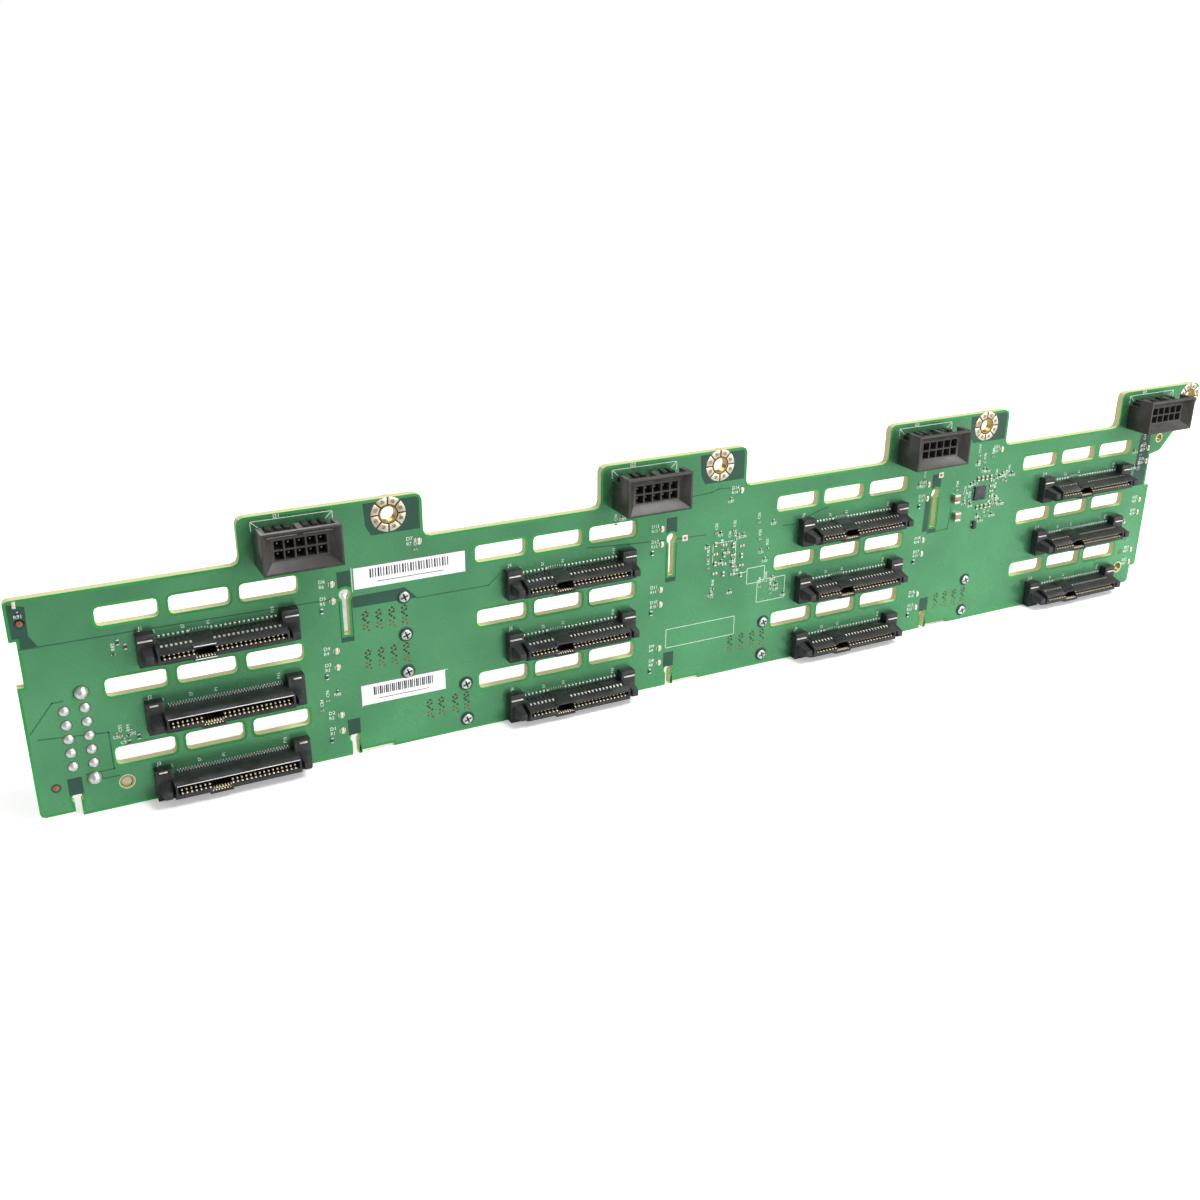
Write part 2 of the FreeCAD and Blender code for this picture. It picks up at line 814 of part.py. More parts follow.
def power_header():
    """The power header on the back, with a latch ramp, board ears and split board locks."""
    back = board_thickness
    front = back + header_depth
    half_x = header_width / 2.0
    half_z = (header_rows - 1) * header_pitch / 2.0 + header_end
    pieces = [box(header_x - half_x, header_x + half_x, back, front, header_z - half_z, header_z + half_z)]
    ramp = header_x + half_x
    half_latch = header_latch_width / 2.0
    low = header_z - half_latch
    ramp_face = [Vector(ramp, front, low), Vector(ramp, front - header_latch_length, low),
                 Vector(ramp + header_latch_depth, front, low)]
    ramp_wire = Part.makePolygon(ramp_face + ramp_face[:1])
    pieces.append(Part.Face(ramp_wire).extrude(Vector(0, 0, header_latch_width)))
    cuts = []
    for z in lock_zs:
        pieces.append(box(lock_x - lock_ear / 2.0, lock_x + lock_ear / 2.0, back, back + lock_ear_depth,
                          min(z, header_z) - lock_ear / 2.0, max(z, header_z) + lock_ear / 2.0))
        pieces.append(prism(lock_x, z, lock_radius, -lock_proud, back, small_round_sides))
        cuts.append(box(lock_x - lock_slit / 2.0, lock_x + lock_slit / 2.0, -lock_proud, back - lock_slit,
                        z - lock_ear, z + lock_ear))
    half = header_cell / 2.0
    for x, z in header_cells():
        cuts.append(box(x - half, x + half, back + header_cell_floor, front, z - half, z + half))
        pin = header_pin / 2.0
        cuts.append(box(x - pin, x + pin, back, back + header_cell_floor, z - pin, z + pin))
    return fuse(pieces).cut(Part.makeCompound(cuts)).removeSplitter()


def header_pins():
    """Pins of the power header."""
    half = header_pin / 2.0
    back = board_thickness
    return [box(x - half, x + half, back, back + header_pin_reach, z - half, z + half)
            for x, z in header_cells()]


def header_joints():
    """Solder joints of the power header on the front face, low cones on round pads."""
    solids = []
    for x, z in header_cells():
        solids.append(cone(x, z, joint_radius, joint_tip_radius, 0, -joint_height, small_round_sides))
    return solids


def screw(x, z):
    """A pan-head screw through the board into a boss; its thread and cross are left plain."""
    head = cone(x, z, screw_head_radius, screw_crown_radius, 0, -screw_head_height, small_round_sides)
    length = board_thickness + screw_length - screw_clearance
    shank = prism(x, z, screw_radius, 0, length, small_round_sides)
    return head.fuse(shank).removeSplitter()


def status_lamps():
    """Two small lamps beside each drive bay and one on each inner tab."""
    places = []
    for column in range(column_count):
        for row in range(row_count):
            for drop in lamp_drops:
                places.append((column_x(column) + lamp_offset, row_z(row) - drop))
    for x in tab_hole_xs[:inner_tabs]:
        places.append((x + lamp_tab_offset, board_top - lamp_tab_drop))
    half_x = lamp_width / 2.0
    half_z = lamp_length / 2.0
    return [box(x - half_x, x + half_x, -lamp_height, 0, z - half_z, z + half_z) for x, z in places]


def small_part(x, z, length, height, rise):
    """A flat small part centred at (x, z) that stands out from the front face."""
    return box(x - length / 2.0, x + length / 2.0, -rise, 0, z - height / 2.0, z + height / 2.0)


def controller_places():
    """Place of the controller chip; the parts around it are placed from it."""
    return column_x(2) + controller_offset, row_z(0) - controller_drop


def large_capacitors():
    """Two large chip capacitors left of the controller chip."""
    x, z = controller_places()
    places = [(x + shift, z + rise) for shift, rise in large_chip_spots]
    return [small_part(a, b, large_chip_width, large_chip_length, large_chip_height) for a, b in places]


def chip_capacitors():
    """Small chip capacitors: a ring round the controller chip and a cluster in the middle of the board."""
    x, z = controller_places()
    lying = []
    standing = []
    for step in contact_places(cluster_count, -capacitor_pitch, capacitor_pitch):
        lying.append((x + capacitor_gap, z + step))
        standing.append((x + step + chip_width, z + capacitor_gap))
        standing.append((x + step + chip_length, z - capacitor_gap))
    cluster_x = column_x(1) + cluster_offset
    cluster_z = row_z(0) - cluster_drop
    for column in range(cluster_count):
        for row in range(cluster_count):
            drop = row * cluster_pitch + column * cluster_skew
            place = (cluster_x + column * cluster_pitch, cluster_z - drop)
            (lying if (row + column) % 2 else standing).append(place)
    solids = [small_part(a, b, chip_length, chip_width, chip_height) for a, b in lying]
    solids += [small_part(a, b, chip_width, chip_length, chip_height) for a, b in standing]
    return solids


def chip_resistors():
    """Small chip resistors: beside the lamps of the inner columns and near the power header."""
    places = [(lock_x + shift, header_z + rise) for shift, rise in header_resistor_spots]
    for column in range(column_count - 1):
        for row in range(row_count):
            places.append((column_x(column) + lamp_offset - bay_resistor_shift,
                           row_z(row) - lamp_drops[1] - bay_resistor_drop))
    return [small_part(a, b, chip_width, chip_length, chip_height) for a, b in places]


def labels():
    """Two blank paper labels."""
    left = keyhole_xs[0] + label_gap
    upper_middle = left + upper_label_length / 2.0
    lower_middle = left + lower_label_length / 2.0
    upper_z = row_z(0) - upper_label_drop
    lower_z = row_z(0) - lower_label_drop
    return [small_part(upper_middle, upper_z, upper_label_length, upper_label_height, label_thickness),
            small_part(lower_middle, lower_z, lower_label_length, lower_label_height, label_thickness)]


def build():
    """Write every node."""
    os.makedirs("parts", exist_ok=True)
    export("circuit_board", [circuit_board()])
    export("hole_pads", hole_pads())
    export("locating_peg", [locating_peg()])
    plates = []
    for column in range(column_count):
        for row in range(row_count):
            x = column_x(column) + receptacle_centre
            fine = column == 0 and row > 0
            z = row_z(row) - receptacle_drop + (fine_lift if fine else 0)
            name = "{}_{}".format(column + 1, row + 1)
            export("drive_receptacle_" + name, [receptacle_housing(x, z, fine)])
            export("drive_contacts_" + name, receptacle_contacts(x, z, fine))
            plates += hold_downs(x, z, fine)
    export("hold_downs", plates)
    for index, left in enumerate(tab_lefts):
        x = left + tab_body_inset
        z = tab_top - tab_body_drop - tab_body_height
        export("tab_receptacle_{}".format(index + 1), [tab_receptacle(x, z)])
        export("tab_pins_{}".format(index + 1), tab_pins(x, z))
    for name, x, z, ports in port_places():
        export("cable_receptacle_" + name, [cable_receptacle(x, z, ports)])
        export("cable_tongues_" + name, port_tongues(x, z, ports))
    export("power_header", [power_header()])
    export("power_header_pins", header_pins())
    export("power_header_joints", header_joints())
    export("screws", [screw(x, z) for x, z in screw_places()])
    export("status_lamps", status_lamps())
    controller_x, controller_z = controller_places()
    export("controller_chip", [small_part(controller_x, controller_z, controller_size, controller_size,
                                          controller_height)])
    export("transistor", [small_part(controller_x + transistor_spot[0], controller_z + transistor_spot[1],
                                     transistor_width, transistor_length, transistor_height)])
    export("large_capacitors", large_capacitors())
    export("chip_capacitors", chip_capacitors())
    export("chip_resistors", chip_resistors())
    export("labels", labels())


build()
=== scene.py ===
"""Drive backplane board: the finished look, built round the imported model."""
import math

import bmesh
import bpy
from bpy.props import FloatProperty, FloatVectorProperty, IntProperty, PointerProperty
from mathutils import Matrix, Vector


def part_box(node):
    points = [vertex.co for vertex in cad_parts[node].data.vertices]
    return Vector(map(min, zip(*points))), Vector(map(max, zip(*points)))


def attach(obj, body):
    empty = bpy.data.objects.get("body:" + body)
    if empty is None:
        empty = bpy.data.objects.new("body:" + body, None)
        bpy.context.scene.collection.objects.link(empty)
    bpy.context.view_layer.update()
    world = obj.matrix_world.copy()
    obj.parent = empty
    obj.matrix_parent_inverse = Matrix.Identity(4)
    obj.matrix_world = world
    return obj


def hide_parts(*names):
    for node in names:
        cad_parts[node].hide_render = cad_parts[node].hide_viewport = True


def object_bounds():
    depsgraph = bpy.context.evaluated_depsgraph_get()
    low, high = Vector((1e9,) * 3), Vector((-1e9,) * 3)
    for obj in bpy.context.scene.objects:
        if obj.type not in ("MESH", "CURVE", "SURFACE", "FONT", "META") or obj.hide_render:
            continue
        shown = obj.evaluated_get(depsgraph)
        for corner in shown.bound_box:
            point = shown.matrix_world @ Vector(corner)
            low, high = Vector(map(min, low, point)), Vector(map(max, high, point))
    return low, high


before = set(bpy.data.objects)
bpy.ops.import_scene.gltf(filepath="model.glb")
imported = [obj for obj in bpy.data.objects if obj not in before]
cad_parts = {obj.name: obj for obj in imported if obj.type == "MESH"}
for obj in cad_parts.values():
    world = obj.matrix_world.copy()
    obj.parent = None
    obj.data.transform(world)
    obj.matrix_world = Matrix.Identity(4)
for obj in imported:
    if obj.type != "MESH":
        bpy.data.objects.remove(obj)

bl_info = {
    "name": "Drive backplane board",
    "version": (1, 0, 0),
    "blender": (4, 5, 0),
    "location": "3D View > Sidebar > Board",
    "description": "Dresses a drive backplane board with its mask, housings, contacts and small parts",
    "category": "Object",
}

CAD_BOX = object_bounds()
BODY = "root"
MM = 0.001
FRONT = 0.0
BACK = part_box("circuit_board")[1].y
COLUMNS = (1, 2, 3, 4)
ROWS = (1, 2, 3)
FINE_KIND = ((1, 2), (1, 3))
# from a drive receptacle's top down to its contacts' level, and from there to its sill, for each kind
BROW = 3.0 * MM
SILL = {False: 3.15 * MM, True: 3.05 * MM}
# from a drive receptacle's middle to the middle of its key contacts
KEY_SHIFT = 5.2 * MM
# the power header's board locks come through here
LOCK_X = -247.95 * MM
LOCK_LEVELS = (-37.15 * MM, -63.15 * MM)
# radius of the printed ring round the locating peg
PEG_RING = 2.15 * MM


def linear(text):
    """An sRGB hex colour as linear red, green, blue and alpha."""
    channels = []
    for start in (1, 3, 5):
        value = int(text[start:start + 2], 16) / 255.0
        channels.append(value / 12.92 if value <= 0.04045 else ((value + 0.055) / 1.055) ** 2.4)
    return (*channels, 1.0)


def size_property(name, text, default):
    """A size that a user can change, its default in millimetres."""
    return FloatProperty(name=name, description=text, default=default * MM, unit="LENGTH")


def colour_property(name, text, default):
    """A colour that a user can change, its default in sRGB hex."""
    return FloatVectorProperty(name=name, description=text, default=linear(default), subtype="COLOR", size=4)


class BoardSizes(bpy.types.PropertyGroup):
    """Sizes of the printed and added parts."""

    mask_thickness: size_property("Mask thickness", "Thickness of the solder mask", 0.04)
    edge_band: size_property("Edge band", "Width of the vivid band of mask along each edge", 0.75)
    ink_width: size_property("Ink width", "Width of a printed line", 0.16)
    ink_rise: size_property("Ink rise", "How far ink stands over the mask", 0.02)
    split_width: size_property("Split width", "Width of the gap between two copper planes", 0.38)
    housing_edge: size_property("Housing edge", "Rounding of a moulded housing's edges", 0.12)
    contact_pitch: size_property("Contact pitch", "Distance between two main contacts", 1.27)
    fine_pitch: size_property("Fine pitch", "Distance between two fine contacts", 0.8)
    ring_segments: IntProperty(name="Ring segments", description="Tinned segments round a tab hole", default=8)


class BoardColours(bpy.types.PropertyGroup):
    """Colours that a user would change."""

    mask: colour_property("Mask", "Solder mask over copper", "#589c6c")
    mask_dark: colour_property("Dark mask", "Solder mask over bare laminate", "#245040")
    mask_edge: colour_property("Edge mask", "Solder mask along the board's edges", "#258a3a")
    laminate: colour_property("Laminate", "Cut edge of the glass laminate", "#d9d0a2")
    black: colour_property("Black housing", "Plastic of the drive receptacles", "#1b1b1d")
    charcoal: colour_property("Charcoal housing", "Plastic of the tab receptacles", "#322f2c")
    gold: colour_property("Gold", "Plating of the contacts", "#e8c25c")
    tin: colour_property("Tin", "Tinned metal", "#e4e1d8")
    ink: colour_property("Ink", "Printed marks", "#f0f3ec")


def sizes():
    """The sizes that a user can change."""
    return bpy.context.scene.board_sizes


def colours():
    """The colours that a user can change."""
    return bpy.context.scene.board_colours


def rest():
    """Leave edit mode and let go of everything."""
    if bpy.context.object is not None and bpy.context.object.mode != "OBJECT":
        bpy.ops.object.mode_set(mode="OBJECT")
    bpy.ops.object.select_all(action="DESELECT")


def hold(*pieces):
    """Select just these pieces; the first is the active one."""
    rest()
    for piece in pieces:
        piece.select_set(True)
    bpy.context.view_layer.objects.active = pieces[0]


def dropped(*pieces):
    """Delete pieces that are used up."""
    hold(*pieces)
    bpy.ops.object.delete()


def opened(piece):
    """Hold a piece and enter edit mode with all of it selected."""
    hold(piece)
    bpy.ops.object.mode_set(mode="EDIT")
    bpy.ops.mesh.select_all(action="SELECT")


def settled(name):
    """The active object under its name, with its place moved into its mesh."""
    piece = bpy.context.object
    piece.name = name
    piece.data.name = name
    bpy.ops.object.transform_apply(location=True, rotation=True, scale=True)
    return piece


def middle_of(low, high):
    """The middle between two corners."""
    return [(a + b) / 2.0 for a, b in zip(low, high)]


def block(name, low, high):
    """A block between two corners."""
    rest()
    size = [b - a for a, b in zip(low, high)]
    bpy.ops.mesh.primitive_cube_add(size=1.0, location=middle_of(low, high), scale=size)
    return settled(name)


def bit(name, at, low, high):
    """A block between two corners in millimetres from a place in metres."""
    return block(name, [a + v * MM for a, v in zip(at, low)], [a + v * MM for a, v in zip(at, high)])


def rod(name, x, z, radius, y0, y1, sides=16):
    """A round bar along Y."""
    rest()
    bpy.ops.mesh.primitive_cylinder_add(vertices=sides, radius=radius, depth=abs(y1 - y0),
                                        location=(x, (y0 + y1) / 2.0, z), rotation=(math.pi / 2.0, 0, 0))
    return settled(name)


def tube(name, x, z, radius, bore, y0, y1):
    """A round bar along Y with a bore right through it."""
    beyond = MM if y1 > y0 else -MM
    return cut(rod(name, x, z, radius, y0, y1, 32), rod("bore", x, z, bore, y0 - beyond, y1 + beyond, 32))


def strip(name, start, end, width, y0, y1):
    """A thin straight line on the board from one (x, z) to another."""
    rest()
    run = Vector((end[0] - start[0], 0.0, end[1] - start[1]))
    middle = ((start[0] + end[0]) / 2.0, (y0 + y1) / 2.0, (start[1] + end[1]) / 2.0)
    angle = -math.atan2(run.z, run.x)
    bpy.ops.mesh.primitive_cube_add(size=1.0, location=middle, rotation=(0, angle, 0),
                                    scale=(run.length + width, abs(y1 - y0), width))
    return settled(name)


def strips(name, lines, width, y0, y1):
    """A list of strips between (x, z) places in millimetres."""
    return [strip(name, [v * MM for v in start], [v * MM for v in end], width, y0, y1) for start, end in lines]


def joined(name, pieces):
    """One piece from several."""
    hold(*pieces)
    if len(pieces) > 1:
        bpy.ops.object.join()
    piece = bpy.context.object
    piece.name = name
    piece.data.name = name
    return piece


def copied(piece, name, offset):
    """A copy with its own mesh, moved by an offset."""
    twin = bpy.data.objects.new(name, piece.data.copy())
    twin.data.name = name
    twin.data.transform(Matrix.Translation(offset))
    bpy.context.collection.objects.link(twin)
    return twin


def repeated(name, piece, offsets):
    """Copies of a piece at each offset, as one piece; the piece itself is used up."""
    twins = [copied(piece, name + "_part", offset) for offset in offsets]
    dropped(piece)
    return joined(name, twins)


def from_node(node, name):
    """A clean copy of a CAD node's mesh, merged, with its flat faces whole."""
    piece = bpy.data.objects.new(name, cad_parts[node].data.copy())
    piece.data.name = name
    piece.data.materials.clear()
    bpy.context.collection.objects.link(piece)
    opened(piece)
    bpy.ops.mesh.remove_doubles(threshold=0.002 * MM)
    bpy.ops.mesh.dissolve_limited(angle_limit=math.radians(0.5))
    bpy.ops.object.mode_set(mode="OBJECT")
    return piece


def modified(piece, kind, **settings):
    """Add a modifier with its settings and apply it."""
    hold(piece)
    modifier = piece.modifiers.new(kind, kind)
    for key, value in settings.items():
        setattr(modifier, key, value)
    bpy.ops.object.modifier_apply(modifier=modifier.name)
    return piece


def rounded(piece, width, segments=2, angle=30.0):
    """Round a piece's sharp edges by a width in millimetres and shade it smooth between them."""
    modified(piece, "BEVEL", width=width * MM, segments=segments, limit_method="ANGLE",
             angle_limit=math.radians(angle), use_clamp_overlap=True, harden_normals=False)
    bpy.ops.object.shade_smooth_by_angle(angle=math.radians(40.0))
    return piece


def cut(piece, cutter):
    """Take one piece's shape out of another."""
    modified(piece, "BOOLEAN", operation="DIFFERENCE", object=cutter, solver="EXACT")
    dropped(cutter)
    return piece


def without(piece, test):
    """Delete the faces that pass a test."""
    opened(piece)
    bpy.ops.mesh.select_mode(type="FACE")
    mesh = bmesh.from_edit_mesh(piece.data)
    for face in mesh.faces:
        face.select_set(test(face))
    bmesh.update_edit_mesh(piece.data)
    bpy.ops.mesh.delete(type="FACE")
    bpy.ops.object.mode_set(mode="OBJECT")
    return piece


def solids_of(node):
    """Low and high corner of each separate solid of a CAD node."""
    opened(from_node(node, node + "_solids"))
    bpy.ops.mesh.separate(type="LOOSE")
    bpy.ops.object.mode_set(mode="OBJECT")
    parts = list(bpy.context.selected_objects)
    corners = []
    for part in parts:
        places = [vertex.co for vertex in part.data.vertices]
        corners.append([Vector([pick(place[axis] for place in places) for axis in range(3)])
                        for pick in (min, max)])
    dropped(*parts)
    return sorted(corners, key=lambda pair: (round(pair[0].x, 5), round(pair[0].z, 5)))


def spots_of(node):
    """The middle X and Z of each separate solid of a CAD node, as offsets from the origin."""
    return [(x, 0.0, z) for x, _, z in (middle_of(low, high) for low, high in solids_of(node))]


def offsets_from(corners):
    """Offsets of like solids from the first of them."""
    return [low - corners[0][0] for low, _ in corners]


def drives():
    """Each drive receptacle's number, whether it is of the fine kind, its left, its middle and its contacts' level."""
    for column in COLUMNS:
        for row in ROWS:
            number = "%d_%d" % (column, row)
            low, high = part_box("drive_receptacle_" + number)
            yield number, (column, row) in FINE_KIND, low.x, (low.x + high.x) / 2.0, high.z - BROW


def kept(piece, finish, slot, *nodes):
    """Give a piece its finish and the body it rides on; it may stand for CAD nodes. The slot is not used."""
    piece.data.materials.clear()
    piece.data.materials.append(bpy.data.materials[finish])
    finished(piece, slot, *nodes)


def finished(piece, slot, *nodes):
    """Let a piece that has its materials ride on the body and stand for CAD nodes."""
    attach(piece, BODY)
    if nodes:
        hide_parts(*nodes)
    rest()


def feed(node, links):
    """Give inputs, by name or number, a number, a hex colour, a socket or the first output of a node."""
    for key, value in links.items():
        if isinstance(value, bpy.types.Node):
            value = next(socket for socket in value.outputs if socket.enabled)
        if isinstance(value, bpy.types.NodeSocket):
            node.id_data.links.new(value, node.inputs[key])
        else:
            node.inputs[key].default_value = linear(value) if isinstance(value, str) else value


def add(tree, kind, links=None, **settings):
    """Add a shader node with its settings and what its inputs take."""
    node = tree.nodes.new("ShaderNode" + kind)
    for key, value in settings.items():
        setattr(node, key, value)
    feed(node, links or {})
    return node


def started(name):
    """A new material: its tree, its shader and its object coordinates."""
    material = bpy.data.materials.new(name)
    material.use_nodes = True
    tree = material.node_tree
    return tree, tree.nodes["Principled BSDF"], add(tree, "TexCoord").outputs["Object"]


def blended(tree, pattern, low, high, base, other):
    """One colour where a pattern is low, another where it is high."""
    level = add(tree, "MapRange", {"Value": pattern, "From Min": low, "From Max": high})
    return add(tree, "Mix", {0: level, 6: base, 7: other}, data_type="RGBA")


def grained(tree, shader, pattern, smooth, rough, strength, depth):
    """Let a pattern vary the gloss between two roughnesses and raise the surface by a depth in millimetres."""
    gloss = add(tree, "MapRange", {"Value": pattern, "To Min": smooth, "To Max": rough})
    bump = add(tree, "Bump", {"Height": pattern, "Strength": strength, "Distance": depth * MM})
    feed(shader, {"Roughness": gloss, "Normal": bump})


def moulded(name, base, pale, roughness, grain, depth):
    """Moulded plastic: slow flow marks in its colour and a fine spark-eroded grain, in millimetres."""
    tree, shader, place = started(name)
    grain *= MM
    flow = add(tree, "TexNoise", {"Vector": place, "Scale": 1.0 / (14.0 * grain), "Detail": 4.0, "Roughness": 0.6})
    feed(shader, {"Base Color": blended(tree, flow, 0.35, 0.7, base, pale)})
    fine = add(tree, "TexNoise", {"Vector": place, "Scale": 1.0 / grain, "Detail": 3.0})
    grained(tree, shader, fine, roughness - 0.07, roughness + 0.08, 0.35, depth)


def metal(name, base, dark, roughness, grain, stretch=(1.0, 1.0, 1.0), share=1.0):
    """Plated metal: a grain in millimetres, stretched if it was drawn, and patches of dull tarnish."""
    tree, shader, place = started(name)
    grain *= MM
    turned = add(tree, "Mapping", {"Vector": place, "Scale": stretch})
    fine = add(tree, "TexNoise", {"Vector": turned, "Scale": 1.0 / grain, "Detail": 4.0, "Roughness": 0.65})
    dull = add(tree, "TexNoise", {"Vector": place, "Scale": 1.0 / (6.0 * grain), "Detail": 2.0})
    feed(shader, {"Metallic": share, "Base Color": blended(tree, dull, 0.42, 0.72, base, dark)})
    grained(tree, shader, fine, roughness - 0.1, roughness + 0.14, 0.3, 0.02)


def printed(name, base, worn, grain):
    """Matt ink or paper with a slightly uneven coat, its grain in millimetres."""
    tree, shader, place = started(name)
    coat = add(tree, "TexNoise", {"Vector": place, "Scale": 1.0 / (grain * MM), "Detail": 5.0, "Roughness": 0.7})
    bump = add(tree, "Bump", {"Height": coat, "Strength": 0.2, "Distance": 0.01 * MM})
    feed(shader, {"Base Color": blended(tree, coat, 0.45, 0.75, base, worn), "Roughness": 0.62, "Normal": bump})


def band_scale(apart):
    """Scale of a wave texture whose bands lie so many millimetres apart."""
    return math.pi / (10.0 * apart * MM)


def solder_mask(name, over_copper, deep, roughness, traces, copper):
    """Liquid photo-imaged solder mask; copper is how much of the metal under the green shines through."""
    tree, shader, place = started(name)
    # plane copper shows as slow cloudy changes of tone, 25 mm across
    cloud = add(tree, "TexNoise", {"Vector": place, "Scale": 40.0, "Detail": 2.0, "Roughness": 0.5})
    tone = blended(tree, cloud, 0.35, 0.65, over_copper, deep)
    # traces in bundles at 45 degrees, 1.8 mm apart so that they show, only where a slow noise is high
    slanted = add(tree, "Mapping", {"Vector": place, "Rotation": (0.0, math.radians(45.0), 0.0)})
    lines = add(tree, "TexWave", {"Vector": slanted, "Scale": band_scale(1.8), "Distortion": 0.0},
                wave_type="BANDS", bands_direction="X", wave_profile="SIN")
    sharp = add(tree, "MapRange", {"Value": lines.outputs["Fac"], "From Min": 0.7, "From Max": 0.9})
    where = add(tree, "TexNoise", {"Vector": place, "Scale": 55.0, "Detail": 0.0})
    bundle = add(tree, "MapRange", {"Value": where, "From Min": 0.56, "From Max": 0.6})
    shown = add(tree, "Math", {0: sharp, 1: bundle}, operation="MULTIPLY")
    faint = add(tree, "Math", {0: shown, 1: traces}, operation="MULTIPLY")
    traced = add(tree, "Mix", {0: faint, 6: tone, 7: deep}, data_type="RGBA")
    # the cured coat is a little duller in patches 6 mm across
    peel = add(tree, "TexNoise", {"Vector": place, "Scale": 160.0, "Detail": 1.0})
    gloss = add(tree, "MapRange", {"Value": peel, "To Min": roughness - 0.04, "To Max": roughness + 0.06})
    bump = add(tree, "Bump", {"Height": faint, "Strength": 0.12, "Distance": 0.02 * MM})
    feed(shader, {"Base Color": traced, "Metallic": copper, "Roughness": gloss, "Normal": bump,
                  "Specular IOR Level": 0.35, "Coat Weight": 0.12, "Coat Roughness": 0.25})


def glass_laminate(name, base, dark):
    """Routed edge of woven glass laminate: pale resin with fine darker plies along the board."""
    tree, shader, place = started(name)
    # plies lie across Y, drawn 0.8 mm apart so that they show
    plies = add(tree, "TexWave", {"Vector": place, "Scale": band_scale(0.8), "Distortion": 1.2, "Detail": 2.0,
                                  "Detail Scale": 3.0}, wave_type="BANDS", bands_direction="Y")
    level = add(tree, "MapRange", {"Value": plies.outputs["Fac"], "To Max": 0.55})
    resin = add(tree, "Mix", {0: level, 6: base, 7: dark}, data_type="RGBA")
    # cut glass fibres, 0.25 mm apart
    fibres = add(tree, "TexNoise", {"Vector": place, "Scale": 4000.0, "Detail": 3.0})
    bump = add(tree, "Bump", {"Height": fibres, "Strength": 0.4, "Distance": 0.03 * MM})
    feed(shader, {"Base Color": resin, "Roughness": 0.7, "Normal": bump})


